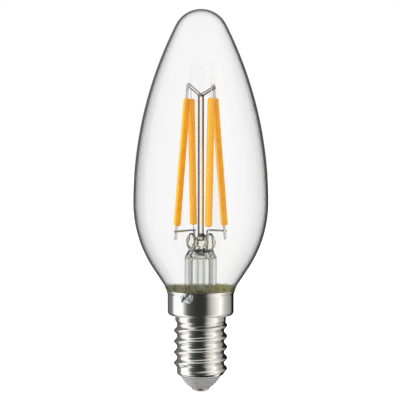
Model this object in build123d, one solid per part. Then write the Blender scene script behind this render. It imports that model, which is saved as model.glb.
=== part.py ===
from build123d import *
import math
import os

# Candle-shaped LED filament lamp with a small screw cap, in millimetres.
# Z is up along the lamp's axis, and z = 0 is the flat of the centre contact.
# The lamp is seen from -Y, with +X to the right.

# Fits between pieces
FIT = 0.05              # slip fit between rigid pieces that are set into one another
WELD_GAP = 0.02         # between a wire and the tab that it is spot-welded to

# Centre contact: a pin with a domed head
CONTACT_DIA = 4.8
CONTACT_HEIGHT = 0.9
CONTACT_FLAT_DIA = 2.4
CONTACT_BULGE = 0.16    # how far the head's side bulges past a plain cone
SHANK_DIA = 1.5
SHANK_LENGTH = 3.6

# Insulator: domed plug under the cap
INSULATOR_HEIGHT = 3.3  # from the contact's head up to the edge of the shell
INSULATOR_BULGE = 0.35  # how far its side bulges past a plain cone
PLUG_HEIGHT = 1.5       # part of the plug that stands inside the shell

# Cap shell: one pressed sheet with a rolled round thread
CAP_WALL = 0.3
EDGE_CURL = 0.8         # radius of the edge that is curled in over the insulator
THREAD_MAJOR_DIA = 13.89
THREAD_DEPTH = 0.8
THREAD_PITCH = 2.822
THREAD_LENGTH = 11.288  # along the axis, at full height
THREAD_FADE_TURNS = 0.5
THREAD_SINK = 0.15      # depth of the ridge's root inside the sheet
EDGE_MARGIN = 1.7       # from the lowest full crest down to the edge of the shell
RING_PROUD = 0.45       # plain ring under the collar, proud of the thread's root
RING_HEIGHT = 1.5
CREST_DROP = 2.6        # from the collar's underside down to the first full crest
COLLAR_DIA = 17.2
COLLAR_HEIGHT = 6.4
COLLAR_CORNER = 1.0
LIP_HEIGHT = 0.9        # flared part at the top of the collar
LIP_GAP = 0.06          # between the rim and the glass

# Glass envelope
OVERALL_LENGTH = 99.0
BULB_DIA = 35.0
BELLY_HEIGHT = 49.0     # widest ring, above the contact
TIP_RADIUS = 7.3
SHOULDER_ANGLE = 33.4   # cone between belly and neck, from the axis
NECK_CURVE = 8.0        # hollow curve from neck to cone
NECK_STRAIGHT = 1.4
NECK_DEPTH = 5.0        # how deep the neck stands below the rim of the cap
GLASS_WALL = 0.55

# Cement between neck and collar
CEMENT_THICKNESS = 0.55
CEMENT_BELOW_RIM = 0.8
CEMENT_HEIGHT = 3.6
CEMENT_CLIMB = 1.35     # height of the bead that was squeezed up past the rim
CEMENT_BEAD = 0.3       # thickness of that bead
CEMENT_OPEN = 4.5       # the bead stops this far in front of the axis

# Glass stem: flared foot, tube and pinched top with three beads
STEM_HEIGHT = 20.1      # from the neck's edge to the top of the pinch
TUBE_DIA = 8.3
TUBE_WALL = 0.9
FLARE_CURVE = 5.0
FLARE_RISE = 0.5        # from the neck's edge up to the flare's rim
PINCH_HEIGHT = 6.6
SHOULDER_HEIGHT = 2.1   # from the tube's round top to the waist under the beads
WAIST_WIDTH = 6.5
WAIST_DEPTH = 3.4
BEAD_DIA = 2.5          # glass round each lead
BEAD_SPACING = 5.2
CANE_BEAD_DIA = 3.4     # glass round the foot of the cane
VENT_DIA = 1.2          # hole through which the lamp was emptied and filled

# Exhaust tube, closed at its lower tip
EXHAUST_DIA = 2.8
EXHAUST_WALL = 0.5
EXHAUST_SET = 1.2       # how deep its top is set into the pinch
TIP_GAP = 1.0           # from its closed tip to the driver board

# Cane and the V-shaped wire in its top
CANE_DIA = 1.6
CANE_SET = 2.2          # how deep the cane is set into the pinch
CANE_ABOVE_COAT = 1.1   # the cane's top, above the top of the yellow coats
CANE_ROUND = 0.5
ARM_DIA = 0.9
ARM_ANGLE = 153.0       # direction of the left arm, seen from above
ARM_REACH = 3.4         # from the axis to the weld
ARM_OVERSHOOT = 0.6     # arm past the weld
ARM_SET = 0.6           # depth of the bend below the cane's top
ARM_BEND = 0.9
LEFT_ARM_RISE = 2.1     # weld above the cane's top
RIGHT_ARM_RISE = 1.2

# Filaments: four of them, round the cane
FOOT_ANGLE = 17.0       # direction of the right filament's foot, seen from above
FOOT_CIRCLE_DIA = 13.1
COAT_LENGTH = 33.1
COAT_DIA = 1.9
COAT_ROUND = 0.5
STRIP_WIDTH = 0.8
STRIP_THICKNESS = 0.3
CHIP_LENGTH = 0.7
CHIP_WIDTH = 0.4
CHIP_HEIGHT = 0.15
CHIP_PITCH = 1.25
TAB_LENGTH = 3.65       # bare part past the coat
TAB_GRIP = 1.3          # part inside the coat
TAB_WIDTH = 0.7
TAB_THICKNESS = 0.2
FOOT_WELD = 1.45        # from the end of the coat down to the lead

# Leads through the pinch and their branches
LEAD_DIA = 0.45
LEAD_SPACING = 3.3      # where they leave the pinch
LEAD_TUBE_SPACING = 4.6 # inside the stem's tube
LEAD_RISE = 0.65        # top of the bend above the pinch
LEAD_DIP = 0.35         # fall from that bend to the weld
LEAD_OVERSHOOT = 0.7    # past the weld
LEAD_BEND = 0.55
WIRE_BEND = 0.8

# Driver board inside the thread
BOARD_HEIGHT = 9.5
BOARD_THICKNESS = 0.8
BOARD_SETBACK = 1.2     # front face behind the axis
BOARD_GAP = 0.15        # above the insulator
CAPACITOR_DIA = 5.0
CAPACITOR_HEIGHT = 7.0
CAPACITOR_OFFSET = 1.7
CAPACITOR_LEG_DIA = 0.5
CAPACITOR_LEG_SPACING = 2.0
CAPACITOR_RISE = 1.4    # from the board's lower edge up to the can
FUSE_DIA = 1.8
FUSE_LENGTH = 4.2
FUSE_OFFSET = 2.9
FUSE_LEG_DIA = 0.5
FUSE_LEG_LENGTH = 1.0
BRIDGE_WIDTH = 4.6
BRIDGE_HEIGHT = 3.6
BRIDGE_THICKNESS = 1.3
DRIVER_CHIP_WIDTH = 4.0
DRIVER_CHIP_HEIGHT = 3.2
DRIVER_CHIP_THICKNESS = 1.4
CHIP_SPACING = 0.7      # between the two packages, and from the board's lower edge
PIN_REACH = 0.9
PIN_WIDTH = 0.4
PIN_THICKNESS = 0.2
SUPPLY_WIRE_DIA = 0.35
LIVE_OFFSET = 2.9
NEUTRAL_OFFSET = 3.6
PAD_INSET = 1.0         # from the board's edges to the wire ends

# Solder on the collar
SOLDER_ANGLE = 244.0    # direction, seen from above
SOLDER_WIDTH = 4.3
SOLDER_HEIGHT = 3.3
SOLDER_THICKNESS = 0.55
SOLDER_DROP = 1.15      # its middle below the rim
SOLDER_HOLE_DIA = 1.1   # in the collar, for the neutral wire
SOLDER_HOLE_DROP = 2.0  # the hole's middle below the rim

# Heights along the axis, stacked from the contact upwards
insulator_base = CONTACT_HEIGHT
shell_edge = insulator_base + INSULATOR_HEIGHT
lowest_crest = shell_edge + EDGE_MARGIN
top_crest = lowest_crest + THREAD_LENGTH
collar_base = top_crest + CREST_DROP
rim = collar_base + COLLAR_HEIGHT
neck_edge = rim - NECK_DEPTH
stem_top = neck_edge + STEM_HEIGHT
tube_top = stem_top - PINCH_HEIGHT
waist = tube_top + SHOULDER_HEIGHT
weld_height = stem_top + LEAD_RISE - LEAD_DIP
coat_foot = weld_height + FOOT_WELD
cane_top = coat_foot + COAT_LENGTH + CANE_ABOVE_COAT
plug_top = shell_edge + PLUG_HEIGHT
board_foot = plug_top + BOARD_GAP
board_top = board_foot + BOARD_HEIGHT
exhaust_tip = board_top + TIP_GAP

# Radii
thread_crest = THREAD_MAJOR_DIA / 2
thread_root = thread_crest - THREAD_DEPTH
bore = thread_root - CAP_WALL
curl_bore = thread_root - EDGE_CURL
ring_radius = thread_root + RING_PROUD
collar_radius = COLLAR_DIA / 2
collar_bore = collar_radius - CAP_WALL
neck_outside = collar_bore - CEMENT_THICKNESS
neck_bore = neck_outside - GLASS_WALL
pin_hole = SHANK_DIA / 2 + SUPPLY_WIRE_DIA + 2 * FIT


def on_axis_plane(edges):
    """Half section drawn as (radius, height), turned about the axis."""
    return revolve(Plane.XZ * make_face(edges), axis=Axis.Z)


def polygon_ring(*corners):
    """Solid of revolution from straight-sided half section corners."""
    return on_axis_plane(Polyline(*corners, close=True).edges())


def wire(points, bends, diameter):
    """Round wire through the points, with each corner bent to its radius."""
    path = FilletPolyline(*points, radius=bends)
    section = Plane(path @ 0, z_dir=path % 0) * Circle(diameter / 2)
    return sweep(section, path=path)


def around(angle, radius, height):
    """Point at a direction and distance from the axis."""
    turn = math.radians(angle)
    return Vector(radius * math.cos(turn), radius * math.sin(turn), height)


# Glass envelope

def neck_radius(height):
    """Outer radius of the glass on its hollow curve above the straight neck."""
    above = height - neck_edge - NECK_STRAIGHT
    return neck_outside + NECK_CURVE - math.sqrt(NECK_CURVE**2 - above**2)


def envelope_form(inset, foot):
    """The blown form, filled, drawn in by the inset and with its neck run down to the foot."""
    slope = math.radians(SHOULDER_ANGLE)
    belly = BULB_DIA / 2
    curve_centre = Vector(neck_outside + NECK_CURVE, neck_edge + NECK_STRAIGHT)
    rise = BELLY_HEIGHT - curve_centre.Y
    overhang = (curve_centre.X - belly) * math.cos(slope)
    lower = (rise * math.sin(slope) + overhang - NECK_CURVE) / (1 - math.cos(slope))
    tip_centre = OVERALL_LENGTH - TIP_RADIUS
    climb = tip_centre - BELLY_HEIGHT
    flank = (belly**2 + climb**2 - TIP_RADIUS**2) / (2 * (belly - TIP_RADIUS))
    lean = math.degrees(math.atan2(climb, flank - belly))

    neck = CenterArc(curve_centre, NECK_CURVE + inset, 180, -SHOULDER_ANGLE)
    lower_body = CenterArc((belly - lower, BELLY_HEIGHT), lower - inset, -SHOULDER_ANGLE, SHOULDER_ANGLE)
    upper_body = CenterArc((belly - flank, BELLY_HEIGHT), flank - inset, 0, lean)
    tip = CenterArc((0, tip_centre), TIP_RADIUS - inset, lean, 90 - lean)
    neck_foot = (neck_outside - inset, foot)
    return on_axis_plane([
        Line((0, foot), neck_foot),
        Line(neck_foot, neck @ 0),
        neck,
        Line(neck @ 1, lower_body @ 0),
        lower_body,
        upper_body,
        tip,
        Line(tip @ 1, (0, foot)),
    ])


def make_glass_envelope():
    return envelope_form(0, neck_edge) - envelope_form(GLASS_WALL, neck_edge - GLASS_WALL)


# Cap

def thread_section():
    """Round crest with straight flanks that run into the sheet, drawn as (radius, height)."""
    crest_round = ((THREAD_PITCH / 2) ** 2 + THREAD_DEPTH**2) / (4 * THREAD_DEPTH)
    flank = math.degrees(math.acos(1 - THREAD_DEPTH / 2 / crest_round))
    crest = CenterArc((thread_crest - crest_round, 0), crest_round, -flank, 2 * flank)
    root = thread_root - THREAD_SINK
    spread = ((crest @ 1).X - root) / math.tan(math.radians(flank))
    upper = (root, (crest @ 1).Y + spread)
    lower = (root, (crest @ 0).Y - spread)
    return make_face([crest, Line(crest @ 1, upper), Line(upper, lower), Line(lower, crest @ 0)])


def thread_ridge():
    """Right-handed helical ridge from the lowest full crest up, sinking away at both ends."""
    lead = math.atan2(THREAD_PITCH, 2 * math.pi * thread_crest)
    across = Plane((0, 0, 0), x_dir=(1, 0, 0), z_dir=(0, -math.cos(lead), -math.sin(lead)))
    section = across * thread_section()
    full = sweep(section, path=Helix(THREAD_PITCH, THREAD_LENGTH, thread_crest), is_frenet=True)

    fade_height = THREAD_FADE_TURNS * THREAD_PITCH
    slope = math.atan2(THREAD_DEPTH + THREAD_SINK, fade_height)
    fade_path = Helix(
        THREAD_PITCH / math.cos(slope), fade_height, thread_crest, cone_angle=-math.degrees(slope)
    )
    fade = sweep(section, path=fade_path, is_frenet=True)
    turned = Rot(0, 0, 360 * THREAD_LENGTH / THREAD_PITCH)
    pieces = (
        Pos(0, 0, lowest_crest) * full,
        Pos(0, 0, top_crest) * turned * fade,
        Pos(0, 0, lowest_crest) * Rot(180, 0, 0) * fade,
    )
    reach = rim - shell_edge
    above_curl = polygon_ring(
        (0, shell_edge), (curl_bore, shell_edge), (curl_bore + reach, rim), (0, rim)
    )
    return [piece & above_curl for piece in pieces]


def lip_bore():
    """Inside of the flared lip at the rim, just clear of the glass."""
    return neck_radius(rim) + LIP_GAP


def solder_frame(drop):
    """Plane on the collar at the solder, this far below the rim, x along the wall and y up."""
    origin = around(SOLDER_ANGLE, collar_radius, rim - drop)
    return Plane(origin, x_dir=around(SOLDER_ANGLE + 90, 1, 0), z_dir=around(SOLDER_ANGLE, 1, 0))


def make_cap_shell():
    ring_base = collar_base - RING_HEIGHT
    step_base = ring_base - RING_PROUD
    ring_bore = ring_radius - CAP_WALL
    lip_base = rim - LIP_HEIGHT
    floor = collar_base + CAP_WALL
    curl_centre = (curl_bore, shell_edge + EDGE_CURL)
    corner_centre = (collar_radius - COLLAR_CORNER, collar_base + COLLAR_CORNER)
    curl = CenterArc(curl_centre, EDGE_CURL, -90, 90)
    corner = CenterArc(corner_centre, COLLAR_CORNER, -90, 90)
    outside = on_axis_plane([
        Line((0, shell_edge), curl @ 0),
        curl,
        Line(curl @ 1, (thread_root, step_base)),
        Line((thread_root, step_base), (ring_radius, ring_base)),
        Line((ring_radius, ring_base), (ring_radius, collar_base)),
        Line((ring_radius, collar_base), corner @ 0),
        corner,
        Line(corner @ 1, (collar_radius, lip_base)),
        Line((collar_radius, lip_base), (lip_bore() + CAP_WALL, rim)),
        Line((lip_bore() + CAP_WALL, rim), (0, rim)),
        Line((0, rim), (0, shell_edge)),
    ])
    inner_curl = CenterArc(curl_centre, EDGE_CURL - CAP_WALL, -90, 90)
    inner_corner = CenterArc(corner_centre, COLLAR_CORNER - CAP_WALL, -90, 90)
    inside = on_axis_plane([
        Line((0, shell_edge), (curl_bore, shell_edge)),
        Line((curl_bore, shell_edge), inner_curl @ 0),
        inner_curl,
        Line(inner_curl @ 1, (bore, step_base)),
        Line((bore, step_base), (ring_bore, ring_base)),
        Line((ring_bore, ring_base), (ring_bore, floor)),
        Line((ring_bore, floor), inner_corner @ 0),
        inner_corner,
        Line(inner_corner @ 1, (collar_bore, lip_base)),
        Line((collar_bore, lip_base), (lip_bore(), rim)),
        Line((lip_bore(), rim), (0, rim)),
        Line((0, rim), (0, shell_edge)),
    ])
    for piece in thread_ridge():
        outside += piece
    hole = Cylinder(SOLDER_HOLE_DIA / 2, 2 * COLLAR_CORNER)
    return outside - inside - solder_frame(SOLDER_HOLE_DROP) * hole


def make_insulator():
    seat = CONTACT_DIA / 2
    dome = SagittaArc((seat, insulator_base), (curl_bore, shell_edge), -INSULATOR_BULGE)
    plug = bore - FIT
    edge = shell_edge + CAP_WALL
    slant = plug - curl_bore
    return on_axis_plane([
        Line((pin_hole, insulator_base), (seat, insulator_base)),
        dome,
        Line((curl_bore, shell_edge), (curl_bore, edge)),
        Line((curl_bore, edge), (plug, edge + slant)),
        Line((plug, edge + slant), (plug, plug_top)),
        Line((plug, plug_top), (pin_hole, plug_top)),
        Line((pin_hole, plug_top), (pin_hole, insulator_base)),
    ])


def make_contact_pin():
    head = CONTACT_DIA / 2
    side = SagittaArc((CONTACT_FLAT_DIA / 2, 0), (head, CONTACT_HEIGHT), -CONTACT_BULGE)
    shank = SHANK_DIA / 2
    return on_axis_plane([
        Line((0, 0), side @ 0),
        side,
        Line(side @ 1, (shank, CONTACT_HEIGHT)),
        Line((shank, CONTACT_HEIGHT), (shank, CONTACT_HEIGHT + SHANK_LENGTH)),
        Line((shank, CONTACT_HEIGHT + SHANK_LENGTH), (0, CONTACT_HEIGHT + SHANK_LENGTH)),
        Line((0, CONTACT_HEIGHT + SHANK_LENGTH), (0, 0)),
    ])


def neutral_radius():
    """Where the neutral wire runs up, against the inside of the collar."""
    return collar_bore - SUPPLY_WIRE_DIA / 2 - FIT


def make_squeezed_cement():
    """Bead of cement on the rim, against the glass, round the sides and the back."""
    bead = envelope_form(-CEMENT_BEAD, neck_edge) - envelope_form(0, neck_edge)
    side = (Align.CENTER, Align.MIN, Align.MIN)
    return bead & Pos(0, -CEMENT_OPEN, rim) * Box(BULB_DIA, BULB_DIA, CEMENT_CLIMB, align=side)


def make_cement_ring():
    """Filling between neck and collar, with a groove for the neutral wire, and what was squeezed up."""
    top = rim - CEMENT_BELOW_RIM
    base = top - CEMENT_HEIGHT
    filling = polygon_ring((neck_bore, base), (collar_bore, base), (collar_bore, top), (neck_bore, top))
    groove_width = SUPPLY_WIRE_DIA + 2 * FIT
    groove_depth = 2 * (collar_radius - neutral_radius() + groove_width / 2)
    groove = Box(groove_width, 2 * CEMENT_HEIGHT, groove_depth)
    filling -= envelope_form(0, base)
    filling -= solder_frame(SOLDER_HOLE_DROP) * groove
    return Compound(children=[filling, make_squeezed_cement()])


# Glass stem and what it holds

def make_stem_form():
    """Flare, tube, pinch and beads as one glass body, still without the wires' channels."""
    tube = TUBE_DIA / 2
    tube_bore = tube - TUBE_WALL
    flare_base = neck_edge + FLARE_RISE
    spread = math.degrees(math.acos(1 - (neck_bore - tube) / FLARE_CURVE))
    curve_top = flare_base + FLARE_CURVE * math.sin(math.radians(spread))
    centre = (tube + FLARE_CURVE, curve_top)
    outer = CenterArc(centre, FLARE_CURVE, 180, spread)
    inner = CenterArc(centre, FLARE_CURVE + TUBE_WALL, 180, spread)
    flared_tube = on_axis_plane([
        Line((tube, tube_top), outer @ 0),
        outer,
        Line(outer @ 1, inner @ 1),
        inner,
        Line(inner @ 0, (tube_bore, tube_top)),
        Line((tube_bore, tube_top), (tube, tube_top)),
    ])
    within_neck = Pos(0, 0, curve_top) * Cylinder(neck_bore, 2 * STEM_HEIGHT)
    shoulder = loft([
        Pos(0, 0, tube_top) * Circle(tube),
        Pos(0, 0, waist) * Ellipse(WAIST_WIDTH / 2, WAIST_DEPTH / 2),
    ])
    bead_top = stem_top - BEAD_DIA / 2
    web = Pos(0, 0, waist) * extrude(Ellipse(WAIST_WIDTH / 2, WAIST_DEPTH / 2), bead_top - waist)
    form = flared_tube & within_neck
    form += shoulder + web
    for x, diameter in (
        (-BEAD_SPACING / 2, BEAD_DIA),
        (0, CANE_BEAD_DIA),
        (BEAD_SPACING / 2, BEAD_DIA),
    ):
        ball = Sphere(diameter / 2)
        top = stem_top - diameter / 2
        foot = waist + diameter / 2
        form += Pos(x, 0, top) * ball
        form += Pos(x, 0, foot) * ball
        form += Pos(x, 0, foot) * extrude(Circle(diameter / 2), top - foot)
    return form


def make_stem_flare(set_in):
    """The stem with a vent at the exhaust tube's top and channels for what is set in it."""
    vent_height = tube_top + EXHAUST_SET
    vent = Pos(0, 0, vent_height) * Rot(90, 0, 0) * extrude(Circle(VENT_DIA / 2), TUBE_DIA)
    cavity = Pos(0, 0, vent_height) * Sphere(EXHAUST_DIA / 2 - EXHAUST_WALL)
    stem = make_stem_form() - vent - cavity
    for piece in set_in:
        stem -= piece
    return stem


def make_exhaust_tube():
    outer = EXHAUST_DIA / 2
    inner = outer - EXHAUST_WALL
    top = tube_top + EXHAUST_SET
    tip = CenterArc((0, exhaust_tip + outer), outer, -90, 90)
    hollow = CenterArc((0, exhaust_tip + outer), inner, -90, 90)
    return on_axis_plane([
        tip,
        Line(tip @ 1, (outer, top)),
        Line((outer, top), (inner, top)),
        Line((inner, top), hollow @ 1),
        hollow,
        Line(hollow @ 0, tip @ 0),
    ])


def make_exhaust_socket():
    """The solid outside of the exhaust tube's top, for its seat in the pinch."""
    return Pos(0, 0, exhaust_tip) * extrude(Circle(EXHAUST_DIA / 2), tube_top + EXHAUST_SET - exhaust_tip)


def make_support_rod(top_wire):
    foot = stem_top - CANE_SET
    cane = Pos(0, 0, foot) * extrude(Circle(CANE_DIA / 2), cane_top - foot)
    rounded = fillet(cane.edges().sort_by(Axis.Z)[-1], CANE_ROUND)
    return rounded - top_wire


def arm_weld(angle, rise):
    return around(angle, ARM_REACH, cane_top + rise)


def arm_line(angle, rise):
    """From the bend in the cane, out past the weld."""
    bend = Vector(0, 0, cane_top - ARM_SET)
    weld = arm_weld(angle, rise)
    return weld + (weld - bend).normalized() * ARM_OVERSHOOT


def make_top_wire():
    bend = Vector(0, 0, cane_top - ARM_SET)
    left = arm_line(ARM_ANGLE, LEFT_ARM_RISE)
    right = arm_line(ARM_ANGLE + 180, RIGHT_ARM_RISE)
    return wire([left, bend, right], [ARM_BEND], ARM_DIA)


# Leads and filaments

# name, quarter turns from the right foot, side of its lead, side of the foot on which the wire
# passes, direction of the arm at the top, rise of that arm, side of the arm that holds the top
FILAMENTS = (
    ("right", 0, 1, 1, ARM_ANGLE + 180, RIGHT_ARM_RISE, 1),
    ("rear", 1, -1, -1, ARM_ANGLE, LEFT_ARM_RISE, -1),
    ("left", 2, -1, 1, ARM_ANGLE, LEFT_ARM_RISE, 1),
    ("front", 3, 1, -1, ARM_ANGLE + 180, RIGHT_ARM_RISE, -1),
)


def foot_point(quarter):
    return around(FOOT_ANGLE + 90 * quarter, FOOT_CIRCLE_DIA / 2, weld_height)


def lead_exit(lead_side, height):
    return Vector(lead_side * LEAD_SPACING / 2, 0, height)


def wire_run(quarter, lead_side, pass_side):
    """Direction and length of the level wire that leaves the lead and touches the foot's tab."""
    to_foot = foot_point(quarter) - lead_exit(lead_side, weld_height)
    stand_off = (LEAD_DIA + TAB_THICKNESS) / 2 + WELD_GAP
    swing = math.asin(stand_off / to_foot.length)
    angle = math.degrees(math.atan2(to_foot.Y, to_foot.X) + pass_side * swing)
    return angle, to_foot.length * math.cos(swing) + LEAD_OVERSHOOT


def filament_frame(quarter, lead_side, pass_side, arm_angle, rise, arm_side):
    """Plane at the foot weld, z along the filament and x along the wire that carries the foot."""
    angle, _ = wire_run(quarter, lead_side, pass_side)
    turn = math.radians(angle - arm_angle)
    half_across = abs(TAB_WIDTH / 2 * math.sin(turn)) + abs(TAB_THICKNESS / 2 * math.cos(turn))
    stand_off = ARM_DIA / 2 + half_across + WELD_GAP
    foot = foot_point(quarter)
    top = arm_weld(arm_angle, rise) + around(arm_angle + 90 * arm_side, stand_off, 0)
    along = (top - foot).normalized()
    outward = around(angle, 1, 0)
    return Plane(foot, x_dir=outward - along * along.dot(outward), z_dir=along)


def upright_box(x_size, y_size, low, high):
    return Pos(0, 0, (low + high) / 2) * Box(x_size, y_size, high - low)


def make_filament(frame):
    """Strip, chips, coat and tabs of one filament, from the foot weld upwards."""
    low = FOOT_WELD
    high = FOOT_WELD + COAT_LENGTH
    strip = upright_box(STRIP_WIDTH, STRIP_THICKNESS, low + TAB_GRIP, high - TAB_GRIP)
    first_chip = low + TAB_GRIP + CHIP_PITCH
    count = int((high - TAB_GRIP - CHIP_PITCH - first_chip) / CHIP_PITCH) + 1
    chip_seat = (STRIP_THICKNESS + CHIP_HEIGHT) / 2
    chips = [
        Pos(0, chip_seat, first_chip + k * CHIP_PITCH) * Box(CHIP_WIDTH, CHIP_HEIGHT, CHIP_LENGTH)
        for k in range(count)
    ]
    foot_tab = upright_box(TAB_WIDTH, TAB_THICKNESS, low - TAB_LENGTH, low + TAB_GRIP)
    top_tab = upright_box(TAB_WIDTH, TAB_THICKNESS, high - TAB_GRIP, high + TAB_LENGTH)
    coat = Pos(0, 0, low) * extrude(Circle(COAT_DIA / 2), COAT_LENGTH)
    coat = fillet(coat.edges().filter_by(GeomType.CIRCLE), COAT_ROUND)
    coat -= strip
    coat -= foot_tab
    coat -= top_tab
    coat -= chips
    return {
        "strip": frame * strip,
        "chips": Compound(children=[frame * chip for chip in chips]),
        "coat": frame * coat,
        "foot_tab": frame * foot_tab,
        "top_tab": frame * top_tab,
    }


def make_lead(quarter, lead_side, pass_side):
    """From the back of the board up through the pinch, over and out past the filament's tab."""
    angle, length = wire_run(quarter, lead_side, pass_side)
    pad = BOARD_SETBACK + BOARD_THICKNESS + LEAD_DIA / 2
    in_tube = lead_side * LEAD_TUBE_SPACING / 2
    points = [
        (in_tube, pad, board_top - PAD_INSET),
        (in_tube, pad, board_top + TIP_GAP),
        (in_tube, 0, neck_edge),
        (in_tube, 0, tube_top - TUBE_WALL),
        lead_exit(lead_side, waist),
        lead_exit(lead_side, stem_top + LEAD_RISE),
        lead_exit(lead_side, weld_height) + around(angle, length, 0),
    ]
    return wire(points, [WIRE_BEND, WIRE_BEND, WIRE_BEND, WIRE_BEND, LEAD_BEND], LEAD_DIA)


def make_branch(quarter, lead_side, pass_side, lead):
    """From the lead's upright part to the filament behind or in front, past its tab."""
    angle, length = wire_run(quarter, lead_side, pass_side)
    start = Plane(lead_exit(lead_side, weld_height), z_dir=around(angle, 1, 0))
    return extrude(start * Circle(LEAD_DIA / 2), length) - lead


# Driver inside the cap

def make_driver_board():
    back = BOARD_SETBACK + BOARD_THICKNESS
    half = math.sqrt((bore - FIT) ** 2 - back**2)
    return Pos(0, BOARD_SETBACK + BOARD_THICKNESS / 2, 0) * upright_box(
        2 * half, BOARD_THICKNESS, board_foot, board_top
    )


def make_capacitor():
    """Can standing in front of the board, its two legs bent back to the board's face."""
    can_foot = board_foot + CAPACITOR_RISE
    middle = BOARD_SETBACK - CAPACITOR_DIA / 2 - CAPACITOR_LEG_DIA
    can = Pos(-CAPACITOR_OFFSET, middle, can_foot) * extrude(Circle(CAPACITOR_DIA / 2), CAPACITOR_HEIGHT)
    for side in (-1, 1):
        x = side * CAPACITOR_LEG_SPACING / 2 - CAPACITOR_OFFSET
        bend = can_foot - CAPACITOR_RISE / 2
        points = [(x, middle, can_foot + CAPACITOR_LEG_DIA), (x, middle, bend), (x, BOARD_SETBACK, bend)]
        can += wire(points, [CAPACITOR_LEG_DIA], CAPACITOR_LEG_DIA)
    return can


def make_fuse_resistor():
    """Round body standing in front of the board, with a leg at each end bent back to it."""
    middle = BOARD_SETBACK - FUSE_DIA / 2 - FIT
    centre = (board_foot + board_top) / 2
    body = Pos(FUSE_OFFSET, middle, centre - FUSE_LENGTH / 2) * extrude(Circle(FUSE_DIA / 2), FUSE_LENGTH)
    for side in (-1, 1):
        end = centre + side * FUSE_LENGTH / 2
        bend = end + side * FUSE_LEG_LENGTH
        points = [
            (FUSE_OFFSET, middle, end - side * FUSE_LEG_DIA),
            (FUSE_OFFSET, middle, bend),
            (FUSE_OFFSET, BOARD_SETBACK, bend),
        ]
        body += wire(points, [FUSE_LEG_DIA], FUSE_LEG_DIA)
    return body


def make_package(width, height, thickness, foot):
    """Moulded chip package on the back of the board, with two flat pins on each side."""
    face = BOARD_SETBACK + BOARD_THICKNESS
    body = Pos(0, face + PIN_THICKNESS + thickness / 2, foot + height / 2) * Box(width, thickness, height)
    for level in (foot + height / 4, foot + 3 * height / 4):
        pins = Box(width + 2 * PIN_REACH, PIN_THICKNESS, PIN_WIDTH)
        body += Pos(0, face + PIN_THICKNESS / 2, level) * pins
    return body


def make_live_wire():
    """From the front of the board down into the hole beside the pin."""
    beside_pin = -(SHANK_DIA + SUPPLY_WIRE_DIA) / 2 - FIT
    front = BOARD_SETBACK - SUPPLY_WIRE_DIA / 2
    points = [
        (LIVE_OFFSET, front, board_foot + SUPPLY_WIRE_DIA),
        (LIVE_OFFSET, beside_pin, plug_top + SUPPLY_WIRE_DIA),
        (0, beside_pin, plug_top + SUPPLY_WIRE_DIA),
        (0, beside_pin, CONTACT_HEIGHT + FIT),
    ]
    bend = SUPPLY_WIRE_DIA
    return wire(points, [bend, bend], SUPPLY_WIRE_DIA)


def make_neutral_wire():
    """From the board up under the neck, beside the cement and out at the hole in the collar."""
    level = (collar_base + CAP_WALL + neck_edge) / 2
    in_groove = neutral_radius()
    in_bore = bore - SUPPLY_WIRE_DIA
    in_wall = collar_radius - CAP_WALL / 2
    outside = collar_radius + SOLDER_THICKNESS / 2
    hole = rim - SOLDER_HOLE_DROP
    front = BOARD_SETBACK - SUPPLY_WIRE_DIA / 2
    points = [
        (-NEUTRAL_OFFSET, front, board_top - PAD_INSET),
        (-NEUTRAL_OFFSET, front, board_top + TIP_GAP),
        around(SOLDER_ANGLE, in_bore, board_top + 2 * TIP_GAP),
        around(SOLDER_ANGLE, in_bore, level),
        around(SOLDER_ANGLE, in_groove, level),
        around(SOLDER_ANGLE, in_groove, hole - (in_wall - in_groove)),
        around(SOLDER_ANGLE, outside, hole + (outside - in_wall)),
    ]
    bend = SUPPLY_WIRE_DIA
    return wire(points, [bend, bend, bend, bend, bend], SUPPLY_WIRE_DIA)


def make_side_solder(shell, neutral_wire):
    """Flattened drop over the hole in the collar."""
    flatten = 2 * SOLDER_THICKNESS / SOLDER_WIDTH
    drop = scale(Sphere(SOLDER_WIDTH / 2), by=(1, SOLDER_HEIGHT / SOLDER_WIDTH, flatten))
    reach = BULB_DIA / 2
    mid_wall = collar_radius - CAP_WALL / 2
    beyond_wall = polygon_ring(
        (mid_wall, collar_base),
        (reach, collar_base),
        (reach, rim),
        (lip_bore() + CAP_WALL / 2, rim),
        (mid_wall, rim - LIP_HEIGHT),
    )
    return (solder_frame(SOLDER_DROP) * drop & beyond_wall) - shell - neutral_wire


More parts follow.
